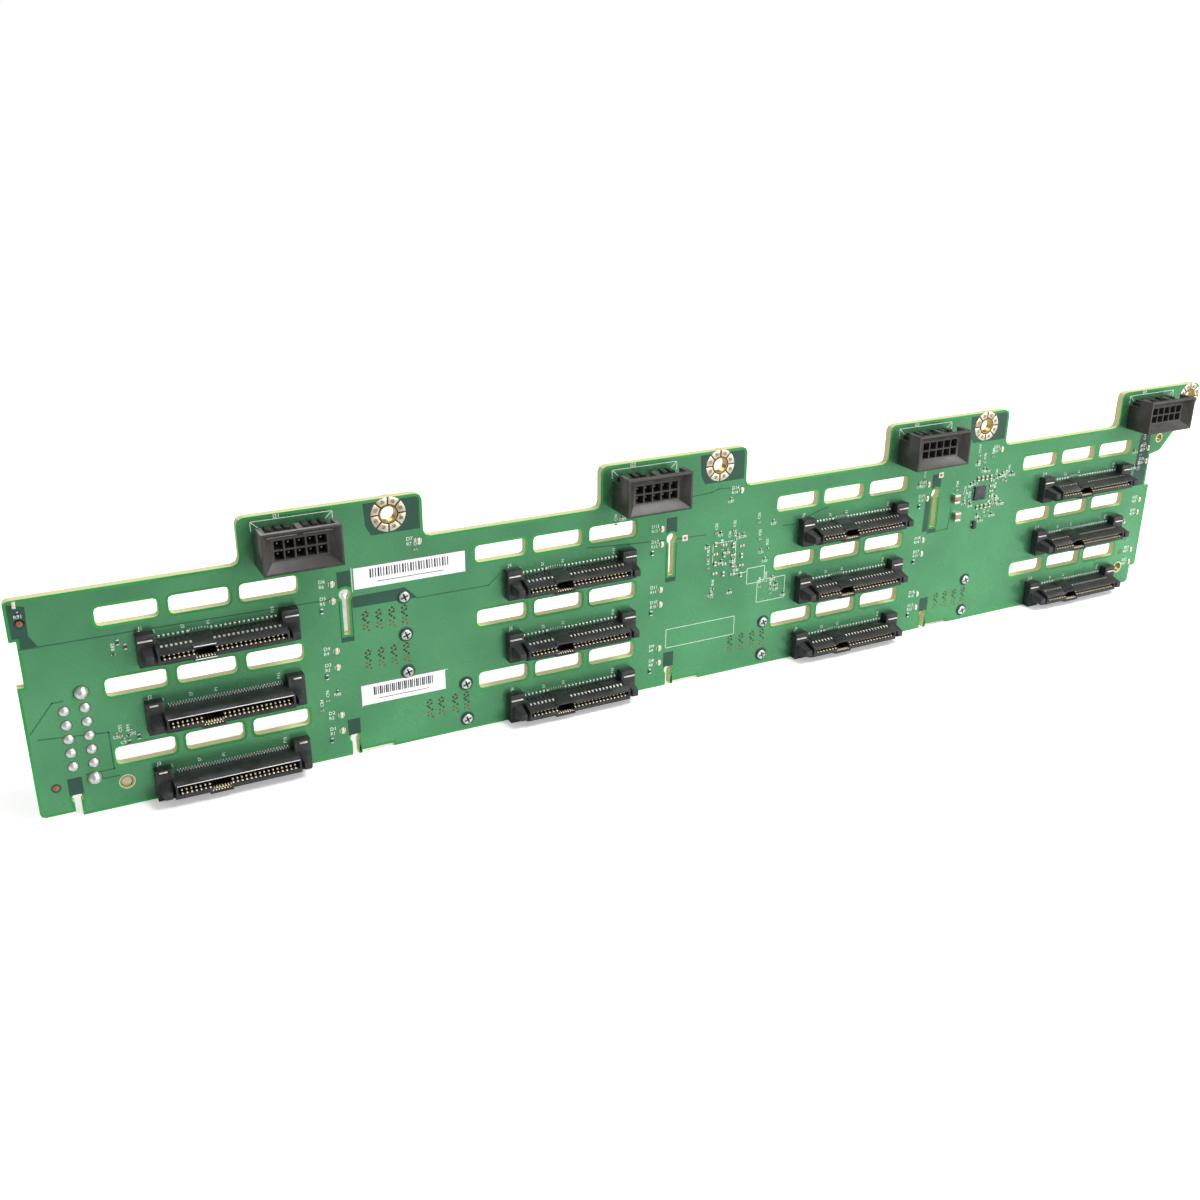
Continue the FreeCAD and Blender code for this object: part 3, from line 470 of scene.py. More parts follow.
class MakeFinishes(bpy.types.Operator):
    """Make every finish of the board"""

    bl_idname = "board.finishes"
    bl_label = "Finishes"

    def execute(self, context):
        paint = colours()
        # green solder mask over copper: glossy, uneven in tone
        solder_mask("solder mask", paint.mask, "#4f8d63", roughness=0.27, traces=0.22, copper=0.62)
        # the same coat over bare laminate is deep and dull
        solder_mask("mask over laminate", paint.mask_dark, "#1f4434", roughness=0.42, traces=0.0, copper=0.0)
        # along routed edges light comes through the laminate, so the green is vivid
        solder_mask("mask at the edge", paint.mask_edge, "#2f9a45", roughness=0.36, traces=0.0, copper=0.0)
        # the gap between copper planes
        solder_mask("plane split", "#2f6847", "#285a3f", roughness=0.4, traces=0.0, copper=0.1)
        # woven glass laminate, routed
        glass_laminate("glass laminate", paint.laminate, "#a89a63")
        # glass-filled liquid crystal polymer, near black, satin
        moulded("black polymer", paint.black, "#313134", roughness=0.48, grain=0.25, depth=0.02)
        # near-white strips along the drive housings' front top edges: painted highlights where the rounded edges catch
        # the key lamp
        moulded("painted highlight edge", "#efeff0", "#fafafa", roughness=0.3, grain=0.25, depth=0.005)
        # glass-filled nylon, charcoal, a little rough
        moulded("charcoal nylon", paint.charcoal, "#413d38", roughness=0.42, grain=0.3, depth=0.03)
        # moulding compound of chips, matt
        moulded("chip compound", "#2f3033", "#45464a", roughness=0.55, grain=0.12, depth=0.015)
        # barium titanate ceramic, brown-beige and smooth
        moulded("chip ceramic", "#a58a68", "#8a6d50", roughness=0.4, grain=0.2, depth=0.01)
        # white filled epoxy of a lamp
        moulded("lamp epoxy", "#efe6cf", "#e0cfa0", roughness=0.35, grain=0.2, depth=0.01)
        # the amber resin dome over a lamp's die
        moulded("lamp resin", "#e9c87a", "#f3dd9f", roughness=0.22, grain=0.2, depth=0.005)
        # flash gold over nickel
        metal("gold plating", paint.gold, "#c99a3c", roughness=0.3, grain=0.15, stretch=(1.0, 0.3, 1.0))
        # hot-dipped tin, pale and soft
        metal("tin", paint.tin, "#cfcabd", roughness=0.34, grain=0.25, share=0.4)
        # hot-air levelled solder on copper, warm and a little uneven
        metal("levelled solder", "#dcd4c0", "#b5a88a", roughness=0.4, grain=0.5)
        # the thin, dull middle of each levelled land
        metal("dull solder", "#a49b88", "#7d7566", roughness=0.5, grain=0.3)
        # tin darkened to grey: painted shade on the pins deep in the cells
        metal("shaded tin", "#77746f", "#55524d", roughness=0.5, grain=0.2)
        # copper gone brown in a gap
        metal("brown copper", "#6b4630", "#3f291d", roughness=0.55, grain=0.3)
        # flash gold on the contact noses and springs, its colour lightened almost to white: a painted glint
        metal("gold with painted glint", "#fff8dc", "#fbe7a8", roughness=0.42, grain=0.15, share=0.2)
        # unfilled nylon, ivory
        moulded("natural nylon", "#b9ab90", "#cfc4ac", roughness=0.42, grain=0.3, depth=0.02)
        # reflowed solder with dull grains, given a pure white, nearly unmetallic colour: partly its own brightness,
        # partly a painted highlight for the glare on the joints
        metal("solder", "#ffffff", "#f4ece2", roughness=0.32, grain=0.3, share=0.12)
        # zinc-plated screw steel
        metal("zinc plate", "#e3e4e4", "#a9abac", roughness=0.32, grain=0.2)
        # nickel-plated pressed sheet
        metal("pressed sheet", "#c9cac9", "#9fa09f", roughness=0.33, grain=0.5, stretch=(1.0, 8.0, 1.0))
        # gold lip worn to olive; the same darkened gold on the contacts deep in the drive receptacles' mouths is
        # painted shade
        metal("aged gold and painted shade", "#b39c58", "#8f7a3c", roughness=0.36, grain=0.2)
        # bare copper under a protective coat
        metal("bare copper", "#b87a58", "#8d5338", roughness=0.45, grain=0.3)
        # copper of a filled via, red-brown
        metal("worn copper", "#96574a", "#6e3c34", roughness=0.5, grain=0.3)
        # white legend ink
        printed("legend ink", paint.ink, "#d5dfd2", grain=0.4)
        # black thermal print
        printed("bar ink", "#202021", "#3a3a3b", grain=0.4)
        # coated label paper
        printed("label paper", "#fafafa", "#ececec", grain=1.5)
        # near-black strips at the bottom of a screw's recess: painted shade in the recess
        moulded("painted recess shade", "#2a2826", "#45413c", roughness=0.6, grain=0.1, depth=0.01)
        # black discs over the open pin holes: painted shade for the dark inside of each hole
        moulded("painted hole shade", "#161a18", "#26302b", roughness=0.6, grain=0.1, depth=0.01)
        return {"FINISHED"}


def skin(name, side):
    """One face of the board as an open sheet: its inside and a band along every edge."""
    piece = without(from_node("circuit_board", name), lambda face: face.normal.y * side < 0.9)
    rim = {place_key(vertex) for vertex in piece.data.vertices}
    opened(piece)
    bpy.ops.mesh.inset(thickness=sizes().edge_band, use_boundary=True, use_even_offset=True)
    bpy.ops.mesh.delete(type="FACE")
    bpy.ops.mesh.select_mode(type="EDGE")
    bpy.ops.mesh.select_all(action="DESELECT")
    mesh = bmesh.from_edit_mesh(piece.data)
    for edge in mesh.edges:
        inner = all(place_key(vertex) not in rim for vertex in edge.verts)
        if inner and len(edge.link_faces) == 1:
            edge.select_set(True)
    bmesh.update_edit_mesh(piece.data)
    bpy.ops.mesh.fill(use_beauty=True)
    bpy.ops.mesh.select_mode(type="FACE")
    mesh = bmesh.from_edit_mesh(piece.data)
    for face in mesh.faces:
        face.select_set(face.normal.y * side < 0)
        face.material_index = int(any(place_key(vertex) in rim for vertex in face.verts))
    bmesh.update_edit_mesh(piece.data)
    bpy.ops.mesh.flip_normals()
    bpy.ops.object.mode_set(mode="OBJECT")
    return piece


def place_key(vertex):
    """A vertex's place, rounded so that it can be looked up."""
    return tuple(round(value, 6) for value in vertex.co)


def dress_node(node, finish):
    """Give a CAD node that stays its finish."""
    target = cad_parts[node]
    target.data.materials.clear()
    target.data.materials.append(bpy.data.materials[finish])


class DressMask(bpy.types.Operator):
    """Coat both faces of the board with solder mask that leaves a vivid band along every edge"""

    bl_idname = "board.mask"
    bl_label = "Solder mask"

    def execute(self, context):
        for name, side in (("solder_mask_front", -1.0), ("solder_mask_back", 1.0)):
            piece = modified(skin(name, side), "SOLIDIFY", thickness=sizes().mask_thickness, offset=1.0)
            for finish in ("solder mask", "mask at the edge"):
                piece.data.materials.append(bpy.data.materials[finish])
            finished(piece, "board")
        dress_node("circuit_board", "glass laminate")
        return {"FINISHED"}


def patch(corners, rise):
    """A flat patch that stands out of the front face, from (x, z) corners in millimetres."""
    rest()
    bpy.ops.mesh.primitive_circle_add(vertices=len(corners), radius=1.0, fill_type="NGON")
    piece = bpy.context.object
    for vertex, (x, z) in zip(piece.data.vertices, corners):
        vertex.co = (x * MM, 0.0, z * MM)
    opened(piece)
    bpy.ops.mesh.extrude_region_move(TRANSFORM_OT_translate={"value": (0, -rise, 0)})
    bpy.ops.mesh.select_all(action="SELECT")
    bpy.ops.mesh.normals_make_consistent(inside=False)
    bpy.ops.object.mode_set(mode="OBJECT")
    return settled("bare_patch")


# X of the keyholes, of the open notches and of the ringed holes, then the gaps between copper planes,
# each as a run of places (X, Z), all in millimetres
KEYHOLES = (-174.85, -67.75, 39.35)
NOTCHES = (-253.15, -174.85, -67.75, 39.35)
RING_HOLES = (-160.65, -50.65, 59.35, 160.65)
SPLITS = (
    ((-261.0, -22.1), (-232.3, -22.2), (-180.3, -22.9), (-176.9, -22.6)),
    ((-153.4, -27.0), (-130.8, -27.0), (-127.0, -23.9)),
    ((-97.8, -20.4), (-83.2, -21.5), (-70.2, -22.3)),
    ((-65.6, -22.5), (-55.0, -22.8)),
    ((-25.0, -24.2), (-20.8, -24.5), (-10.9, -21.2), (-7.0, -20.4)),
    ((-63.0, -9.2), (-53.3, -8.7), (-51.0, -7.9), (-43.1, -8.3)),
    ((-262.0, -46.6), (-255.5, -38.7), (-252.8, -38.7)),
    ((-260.4, -48.6), (-242.7, -50.4), (-242.7, -61.7), (-250.0, -61.7)),
    ((-246.5, -64.0), (-241.6, -64.1)),
    ((41.4, -36.6), (46.6, -36.4), (47.4, -29.0)),
)
# mask over bare laminate, beside the patches at the keyholes, notches and rings
BARE_PLACES = (
    ((-172.8, -23.2), (-157.0, -23.0), (-153.2, -26.9), (-158.6, -26.8), (-172.8, -26.7)),
    ((-262.3, -9.2), (-258.0, -10.5), (-258.3, -18.6), (-256.4, -22.0), (-260.6, -22.0), (-260.6, -20.4),
     (-262.3, -19.0)),
    ((143.2, -12.6), (138.0, -12.6), (137.0, -33.0), (143.6, -33.2), (143.6, -20.0)),
    ((35.2, -24.4), (37.3, -22.5), (37.3, -36.0), (35.0, -36.0)),
)


class DressPlanes(bpy.types.Operator):
    """Show the dark patches and lines where the copper under the mask ends"""

    bl_idname = "board.planes"
    bl_label = "Copper planes"

    def execute(self, context):
        rise = sizes().mask_thickness + sizes().ink_rise * 0.5
        shapes = []
        for places, half, bottom, top in ((KEYHOLES, 1.95, -20.1, -15.0), (KEYHOLES, 1.95, -36.9, -20.5),
                                          (NOTCHES, 1.9, -67.2, -62.0)):
            shapes += [[(x - half, bottom), (x + half, bottom), (x + half, top), (x - half, top)] for x in places]
        for x in RING_HOLES[:3]:
            shapes.append([(x - 7.3, 4.1), (x - 6.9, -2.6), (x - 5.4, -5.6), (x + 9.2, -5.6), (x + 9.2, 4.1)])
        piece = joined("bare_laminate_patches", [patch(corners, rise) for corners in (*shapes, *BARE_PLACES)])
        inside = without(skin("inside", -1.0), lambda face: face.material_index == 1)
        modified(inside, "SOLIDIFY", thickness=MM, offset=0.0)
        modified(piece, "BOOLEAN", operation="INTERSECT", object=inside, solver="EXACT", use_self=True)
        dropped(inside)
        kept(piece, "mask over laminate", "board")
        lines = [line for run in SPLITS for line in zip(run[:-1], run[1:])]
        kept(joined("plane_splits", strips("split", lines, sizes().split_width, FRONT, -rise * 1.1)),
             "plane split", "board")
        return {"FINISHED"}


# X and Z of the small chips that the solids leave out, in millimetres
EXTRA_CHIPS = (
    (-51.1, -22.9), (-49.3, -22.9), (-44.2, -22.9), (-42.4, -24.8), (-43.7, -26.3), (-40.5, -24.7),
    (-45.9, -26.4), (-54.2, -26.5), (-48.7, -28.8), (-46.5, -29.5), (-44.0, -30.2), (-44.4, -32.8),
    (-53.9, -31.5), (-48.8, -32.8), (-53.8, -34.7), (-42.9, -36.2), (-51.8, -42.3), (-52.3, -43.7),
    (-52.2, -45.2), (-44.9, -44.0), (-34.1, -27.6), (-33.3, -31.4), (-31.0, -31.3), (-31.6, -34.8),
    (-33.2, -44.8), (-23.3, -48.6), (-34.8, -21.6), (-28.9, -22.0), (-28.7, -45.5), (-26.6, -45.9),
    (-28.8, -47.9), (-26.5, -44.4), (-30.9, -43.1), (-28.1, -42.0), (58.1, -15.6), (60.8, -15.8),
    (66.8, -20.1), (55.3, -20.7), (48.9, -22.2), (53.3, -23.3), (52.9, -24.6), (52.9, -27.1),
    (55.2, -27.1), (56.1, -28.3), (66.3, -29.3), (68.0, -29.2), (66.9, -25.0), (57.4, -13.0),
    (60.4, -13.4), (68.4, -19.2), (70.1, -21.4), (60.1, -33.0), (-238.6, -27.9), (-240.8, -51.4),
    (-184.1, -57.1), (-179.1, -52.0), (-153.2, -11.8), (-46.0, -11.8), (64.0, -11.8), (-85.6, -12.0),
    (-88.0, -14.2), (-259.9, -12.0), (-239.8, -52.2), (-239.0, -53.4), (-237.8, -52.4), (-236.9, -51.2),
    (-182.2, -54.4), (136.6, -24.6), (139.0, -26.4), (136.4, -47.0), (139.2, -55.4),
    (69.9, -18.6), (72.6, -19.9), (74.3, -19.1), (71.6, -21.8), (67.6, -27.2), (68.1, -30.7), (70.4, -29.6),
    (64.7, -32.2), (66.7, -33.5), (63.1, -34.0), (61.4, -34.8), (53.1, -28.5), (56.7, -20.2), (57.6, -10.6),
    (62.1, -16.1), (33.7, -16.6), (31.6, -17.7), (139.1, -20.5), (135.8, -18.5), (140.1, -15.9), (138.7, -24.9),
)


def frame_lines(x0, z0, x1, z1):
    """The four sides of a printed rectangle, in millimetres."""
    return [((x0, z0), (x1, z0)), ((x1, z0), (x1, z1)), ((x1, z1), (x0, z1)), ((x0, z1), (x0, z0))]


def words(marks, rise):
    """Plain designators as flat printed letters: text, X, Z, letter height and whether it stands upright."""
    rest()
    pieces = []
    for body, x, z, height, upright in marks:
        bpy.ops.object.text_add(location=(x * MM, 0.0, z * MM),
                                rotation=(math.pi / 2.0, -math.pi / 2.0 if upright else 0.0, 0.0))
        piece = bpy.context.object
        piece.data.body = body
        piece.data.size = height * MM / 0.7
        piece.data.resolution_u = 2
        piece.data.extrude = rise
        pieces.append(piece)
    hold(*pieces)
    bpy.ops.object.convert(target="MESH")
    joined("designators", pieces)
    piece = settled("designators")
    opened(piece)
    bpy.ops.mesh.remove_doubles(threshold=0.001 * MM)
    bpy.ops.object.mode_set(mode="OBJECT")
    return piece


def outlines(lamps):
    """The printed lines round the receptacles, labels, parts and lamps, in millimetres."""
    lines = []
    for number in COLUMNS:
        low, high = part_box("tab_receptacle_%d" % number)
        left, right, top = low.x / MM - 0.25, high.x / MM + 0.25, high.z / MM + 0.45
        lines += [((left, top), (right, top)), ((left, top), (left, top - 2.6)), ((right, top), (right, top - 2.6)),
                  ((left, top), (left + 2.0, top - 1.9)), ((right, top), (right - 2.0, top - 1.9))]
    lines += frame_lines(-68.85, -60.4, -42.5, -53.8)
    lines += frame_lines(-172.5, -21.7, -137.7, -14.4)[3:] + frame_lines(-171.9, -58.9, -144.9, -52.0)[2:]
    lines += frame_lines(-38.3, -43.0, -31.4, -37.4) + frame_lines(-34.0, -50.4, -22.9, -42.4)
    lines += [((-52.0, -26.5), (-43.3, -26.5)), ((-52.0, -26.5), (-52.0, -33.0)),
              ((-43.3, -26.5), (-43.3, -38.5)), ((-43.3, -38.5), (-38.3, -38.5))]
    for low, high in lamps:
        bottom, top = low.z / MM + 0.3, high.z / MM - 0.3
        lines += [((x, bottom), (x, top)) for x in (low.x / MM - 0.35, high.x / MM + 0.35)]
    return lines


def designators(lamps):
    """Generic numbers beside the parts, as words() takes them."""
    marks = [("D%d" % number, low.x / MM - 3.3, high.z / MM - 0.2, 1.1, False)
             for number, (low, high) in enumerate(lamps, 1)]
    for column in COLUMNS:
        low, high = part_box("tab_receptacle_%d" % column)
        marks.append(("J%d" % (column + 20), low.x / MM + 6.0, high.z / MM + 0.75, 1.1, False))
    for number, (_, _, left, middle, top) in enumerate(drives(), 1):
        marks.append(("J%d" % number, left / MM + 1.2, top / MM + 3.4, 1.1, False))
        marks += [(body, middle / MM + shift, top / MM + 1.9, 0.9, True)
                  for body, shift in (("S1", -16.6), ("S7", -8.8), ("P1", -2.0), ("P15", 15.6))]
    for index, (x, z) in enumerate(EXTRA_CHIPS):
        name = ("C%d", "R%d")[index % 3 == 1] % (index + 30)
        upright = index % 2 == 0
        marks.append((name, x + (0.6 if upright else -1.1), z + (1.1 if upright else -1.4), 0.95, upright))
    return marks + [("R%d" % number, low.x / MM - 3.3, high.z / MM - 1.7, 1.0, False)
                    for number, (low, high) in enumerate(lamps, 1)]


class DressLegend(bpy.types.Operator):
    """Print the plain outlines and small marks"""

    bl_idname = "board.legend"
    bl_label = "Legend"

    def execute(self, context):
        rise = sizes().mask_thickness + sizes().ink_rise
        lamps = solids_of("status_lamps")
        ink = strips("mark", outlines(lamps), sizes().ink_width, FRONT, -rise)
        x, _, z = middle_of(*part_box("locating_peg"))
        ink.append(tube("ring", x, z, PEG_RING, PEG_RING - sizes().ink_width, FRONT, -rise))
        ink.append(words(designators(lamps), rise))
        kept(joined("printed_legend", ink), "legend ink", "board")
        return {"FINISHED"}


def ring_parts(x, z, outer, front):
    """One pad round a hole, as its parts: solder, dull middles, vias, lip and bare copper."""
    y0, out = (FRONT, -1.0) if front else (BACK, 1.0)
    pad = y0 + out * 0.12 * MM
    large = outer > 4.0 * MM
    hole = 2.3 * MM if large else outer - 0.45 * MM
    parts = {}
    if large:
        parts["hole_lips"] = tube("lip", x, z, 2.62 * MM, hole, y0, y0 + out * 0.1 * MM)
        parts["ring_copper"] = tube("bare", x, z, outer - 0.1 * MM, 2.4 * MM, y0, y0 + out * 0.06 * MM)
        piece = rod("pads", x, z, outer, y0, pad, 32)
        dulls = []
        vias = []
        turn = 2.0 * math.pi / sizes().ring_segments

        def spot(name, reach, angle, radius, depth, sides):
            """A small round spot in a segment, its reach as a share of the pad's radius."""
            return rod(name, x + reach * outer * math.cos(angle), z + reach * outer * math.sin(angle),
                       radius * MM, y0 + out * 0.05 * MM, pad + out * depth * MM, sides)

        for part in range(sizes().ring_segments):
            end = (x + 1.2 * outer * math.cos(turn * part), z + 1.2 * outer * math.sin(turn * part))
            cut(piece, strip("gap", (x, z), end, 0.42 * MM, y0 - out * MM, pad + out * MM))
            middle = turn * (part + 0.5)
            dulls.append(spot("dull", 0.77, middle, 0.62, 0.01, 12))
            for spread, reach in ((-0.11, 0.72), (0.11, 0.72), (0.0, 0.84)):
                vias.append(spot("via", reach, middle + spread, 0.14, 0.02, 8))
        cut(piece, rod("inner", x, z, 2.95 * MM, y0 - out * MM, pad + out * MM, 32))
        parts["tinned_segments"] = rounded(piece, 0.05, 2, 50.0)
        parts["ring_dulls"] = joined("ring_dulls", dulls)
        parts["ring_vias"] = joined("ring_vias", vias)
    else:
        parts["tinned_segments"] = tube("lip", x, z, outer, hole, y0, pad)
    if front:
        parts["hole_linings"] = tube("lining", x, z, hole + 0.02 * MM, hole - 0.08 * MM, FRONT, BACK)
    return parts


class DressRings(bpy.types.Operator):
    """Lay eight tinned segments and a gold lip round each tab hole, and line the holes"""

    bl_idname = "board.rings"
    bl_label = "Tinned rings"

    def execute(self, context):
        groups = {}
        for low, high in solids_of("hole_pads"):
            # the CAD pads are eight-sided, so their width is across flats
            outer = (high.x - low.x) / 2.0 / math.cos(math.pi / 8.0)
            groups.setdefault((low.y < 0.0, round(outer / MM, 1)), []).append(((low + high) / 2.0, outer))
        pieces = {}
        for (front, _), places in groups.items():
            centre, outer = places[0]
            offsets = [(place.x - centre.x, 0.0, place.z - centre.z) for place, _ in places]
            for name, piece in ring_parts(centre.x, centre.z, outer, front).items():
                pieces.setdefault(name, []).append(repeated(name, piece, offsets))
        kept(joined("tinned_segments", pieces["tinned_segments"]), "levelled solder", "tinned_pads", "hole_pads")
        for name, finish in (("ring_dulls", "dull solder"), ("ring_vias", "brown copper"), ("hole_lips", "aged gold and painted shade"),
                             ("ring_copper", "brown copper"), ("hole_linings", "aged gold and painted shade")):
            kept(joined(name, pieces[name]), finish, "tinned_pads")
        return {"FINISHED"}


def contact_offsets():
    """Offsets of the seven signal and fifteen power contacts from a receptacle's middle."""
    pitch = sizes().contact_pitch
    return [-12.5 * pitch + pitch * place for place in (*range(7), *range(11, 26))]


def housing_master(node, fine):
    """One drive housing with its contact windows, ribs and rounded edges."""
    piece = from_node(node, "housing_master")
    low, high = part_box(node)
    middle = (low.x + high.x) / 2.0
    top = high.z - BROW
    if not fine:
        windows = []
        for offset in contact_offsets():
            at = (middle + offset, 0.0, top)
            windows.append(bit("window", at, (-0.3, -3.2, -0.12), (0.3, -0.9, 1.0)))
            windows.append(bit("window", at, (-0.42, -5.8, -0.8), (0.42, -4.2, 1.0)))
        cut(piece, joined("windows", windows))
    rounded(piece, sizes().housing_edge / MM, 2, 35.0)
    teeth = [bit("tooth", (middle + offset + sizes().contact_pitch / 2.0, 0.0, top - SILL[fine]),
                 (-0.3, -8.1, -0.1), (0.3, -5.6, 0.42)) for offset in contact_offsets()]
    return joined("housing_master", [piece, rounded(joined("teeth", teeth), 0.06, 1)])


class DressReceptacles(bpy.types.Operator):
    """Mould the twelve drive receptacles with their windows, teeth and rounded posts"""

    bl_idname = "board.receptacles"
    bl_label = "Drive receptacles"

    def execute(self, context):
        masters = {}
        for fine, node in ((False, "drive_receptacle_2_2"), (True, "drive_receptacle_1_2")):
            masters[fine] = (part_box(node)[0], housing_master(node, fine))
        levels = {}
        for number, fine, _, middle, top in drives():
            corner, master = masters[fine]
            name = "drive_receptacle_" + number
            piece = copied(master, "drive_housing_" + number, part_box(name)[0] - corner)
            kept(piece, "black polymer", "black_plastic", name)
            levels[number] = (middle, top)
        dropped(*(master for _, master in masters.values()))
        # near-white strips on the front top edges of the fine housings and two at the key of 1_1: painted highlights
        edges = []
        for number, left, right, drop in (("1_2", -17.2, 17.2, 0.14), ("1_3", -17.2, 17.2, 0.14),
                                          ("1_1", -8.2, -2.2, 0.62), ("1_1", -8.2, -2.2, 4.45)):
            middle, top = levels[number]
            edges.append(bit("edge", (middle, 0.0, top - drop * MM), (left, -8.24, -0.13), (right, -8.0, 0.13)))
        kept(rounded(joined("painted_highlight_edges", edges), 0.06, 1), "painted highlight edge", "black_plastic")
        return {"FINISHED"}


def contact_places():
    """Where each kind of contact part stands, by the part's name."""
    pitch = sizes().fine_pitch
    places = {name: [] for name in ("foot", "fine_foot", "tick", "nose", "fine_nose", "spring")}
    for _, fine, _, middle, top in drives():
        sill = top - SILL[fine]
        for offset in contact_offsets():
            places["nose"].append((middle + offset, 0.0, sill + 0.3 * MM))
            places["spring"].append((middle + offset, 0.0, sill + 1.05 * MM))
            if not fine:
                places["foot"].append((middle + offset, 0.0, top))
                places["tick"].append((middle + offset, 0.0, top))
        for step in range(-3, 4):
            x = middle - KEY_SHIFT + step * pitch
            places["fine_nose"].append((x, 0.0, sill - (0.95 if fine else 0.9) * MM))
            if fine:
                places["fine_nose"].append((x + 0.3 * MM, 0.0, sill - 0.25 * MM))
            else:
                places["fine_foot"].append((x, 0.0, top + (1.35 - 0.03 * step ** 2) * MM))
        for step in range(40 if fine else 0):
            x = middle + (step - 19.5) * pitch
            places["fine_foot"].append((x, 0.0, top + 0.85 * MM))
            places["fine_foot"].append((x + pitch / 2.0, 0.0, top + 0.2 * MM))
    return places


class DressContacts(bpy.types.Operator):
    """Add the contacts' legs, noses and springs, their solder feet and the hold-downs"""

    bl_idname = "board.contacts"
    bl_label = "Contacts"

    def execute(self, context):
        places = contact_places()
        rows = {}
        for name, middle, size, lean, edge, segments in (
                ("foot", (0.0, -0.25, 0.85), (0.72, 0.5, 0.8), 0.0, 0.12, 2),
                ("fine_foot", (0.0, -0.2, 0.0), (0.4, 0.4, 0.56), 0.0, 0.07, 1),
                ("tick", (0.0, -4.9, -0.42), (0.76, 1.05, 0.25), 30.0, 0.05, 1),
                ("nose", (0.0, -7.65, 0.025), (0.48, 0.7, 0.35), 0.0, 0.12, 2),
                ("fine_nose", (0.0, -7.325, 0.125), (0.38, 1.25, 0.35), 0.0, 0.07, 1),
                ("spring", (0.0, -6.8, 0.025), (0.48, 0.8, 0.45), 0.0, 0.12, 2)):
            rest()
            bpy.ops.mesh.primitive_cube_add(size=1.0, location=[v * MM for v in middle], scale=[v * MM for v in size],
                                            rotation=(math.radians(lean), 0.0, 0.0))
            rows[name] = repeated(name, rounded(settled(name), edge, segments), places[name])
        # the noses and springs take gold lightened almost to white as a painted glint
        for name, parts, finish, slot in (("contact_feet", ("foot",), "solder", "solder"),
                                          ("fine_feet", ("fine_foot",), "solder", "solder"),
                                          ("contact_ticks", ("tick",), "tin", "tinned_metal"),
                                          ("contact_noses", ("nose", "fine_nose"), "gold with painted glint", "gold_contacts"),
                                          ("contact_springs", ("spring",), "gold with painted glint", "gold_contacts")):
            kept(joined(name, [rows[part] for part in parts]), finish, slot)
        # the contacts deep in the mouths take the darkened gold: painted shade
        for number, *_ in drives():
            dress_node("drive_contacts_" + number, "aged gold and painted shade")
        plates = [rounded(block("plate", low, high), 0.1, 2) for low, high in solids_of("hold_downs")]
        kept(joined("hold_down_plates", plates), "tin", "tinned_metal", "hold_downs")
        return {"FINISHED"}


class DressTabReceptacles(bpy.types.Operator):
    """Mould the four blind-mate receptacles in the tabs"""

    bl_idname = "board.tab_receptacles"
    bl_label = "Tab receptacles"

    def execute(self, context):
        for number in COLUMNS:
            node = "tab_receptacle_%d" % number
            name = "tab_housing_%d" % number
            piece = rounded(from_node(node, name), 0.14, 2, 35.0)
            low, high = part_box(node)
            humps = [bit("hump", (low.x + offset * MM, 0.0, high.z - 1.9 * MM), (0.0, -3.3, -0.2), (1.7, -0.1, 0.7))
                     for offset in (3.0, 5.8, 8.2, 13.2, 15.8, 18.3)]
            piece = joined(name, [piece, rounded(joined("humps", humps), 0.18, 2)])
            kept(piece, "charcoal nylon", "charcoal_plastic", node)
            pins = [block("pin", *corners) for corners in solids_of("tab_pins_%d" % number)]
            pins = rounded(joined("tab_contacts_%d" % number, pins), 0.12, 2)
            # the pins sit deep in the cells, so they take tin darkened as painted shade
            kept(pins, "shaded tin", "tinned_metal", "tab_pins_%d" % number)
        return {"FINISHED"}


def soldered(name, places, radius, height, out, *nodes):
    """Solder domes on one face of the board, each with the tip of its pin, in millimetres."""
    radius *= MM
    height *= MM
    level = FRONT if out < 0.0 else BACK
    rest()
    bpy.ops.mesh.primitive_uv_sphere_add(segments=16, ring_count=10, radius=radius, location=(0.0, level, 0.0),
                                         scale=(1.0, 1.0, height / radius), rotation=(math.pi / 2.0, 0, 0))
    piece = without(settled("dome"), lambda face: out * (face.calc_center_median().y - level) < -0.02 * MM)
    modified(piece, "SOLIDIFY", thickness=0.05 * MM, offset=-1.0)
    tip = rod("tip", 0.0, 0.0, radius * 0.34, level + out * height * 0.6, level + out * height * 1.15, 10)
    piece = joined("dome", [piece, rounded(tip, 0.08, 2)])
    bpy.ops.object.shade_smooth_by_angle(angle=math.radians(50.0))
    # the domes take the whitened solder, partly a painted highlight
    kept(repeated(name, piece, places), "solder", "solder", *nodes)


class DressJoints(bpy.types.Operator):
    """Solder the power header on the front, and the tab receptacles and hold-downs on the back"""

    bl_idname = "board.joints"
    bl_label = "Solder joints"

    def execute(self, context):
        joints = spots_of("power_header_joints")
        locks = [(LOCK_X, 0.0, z) for z in LOCK_LEVELS]
        soldered("header_solder", joints, 1.45, 0.95, -1.0, "power_header_joints")
        soldered("lock_solder", locks, 1.95, 1.95, -1.0)
        rims = []
        for name, places, radius in (("joint_rims", joints, 1.55), ("lock_rims", locks, 2.06)):
            rim = rounded(rod("rim", 0.0, 0.0, radius * MM, FRONT, -0.07 * MM, 24), 0.02, 1)
            rims.append(repeated(name, rim, places))
        kept(joined("joint_rims", rims), "brown copper", "tinned_pads")
        tab_pins = [spot for number in COLUMNS for spot in spots_of("tab_pins_%d" % number)]
        soldered("tab_solder", tab_pins, 0.75, 0.6, 1.0)
        soldered("hold_down_solder", spots_of("hold_downs"), 0.9, 0.45, 1.0)
        return {"FINISHED"}


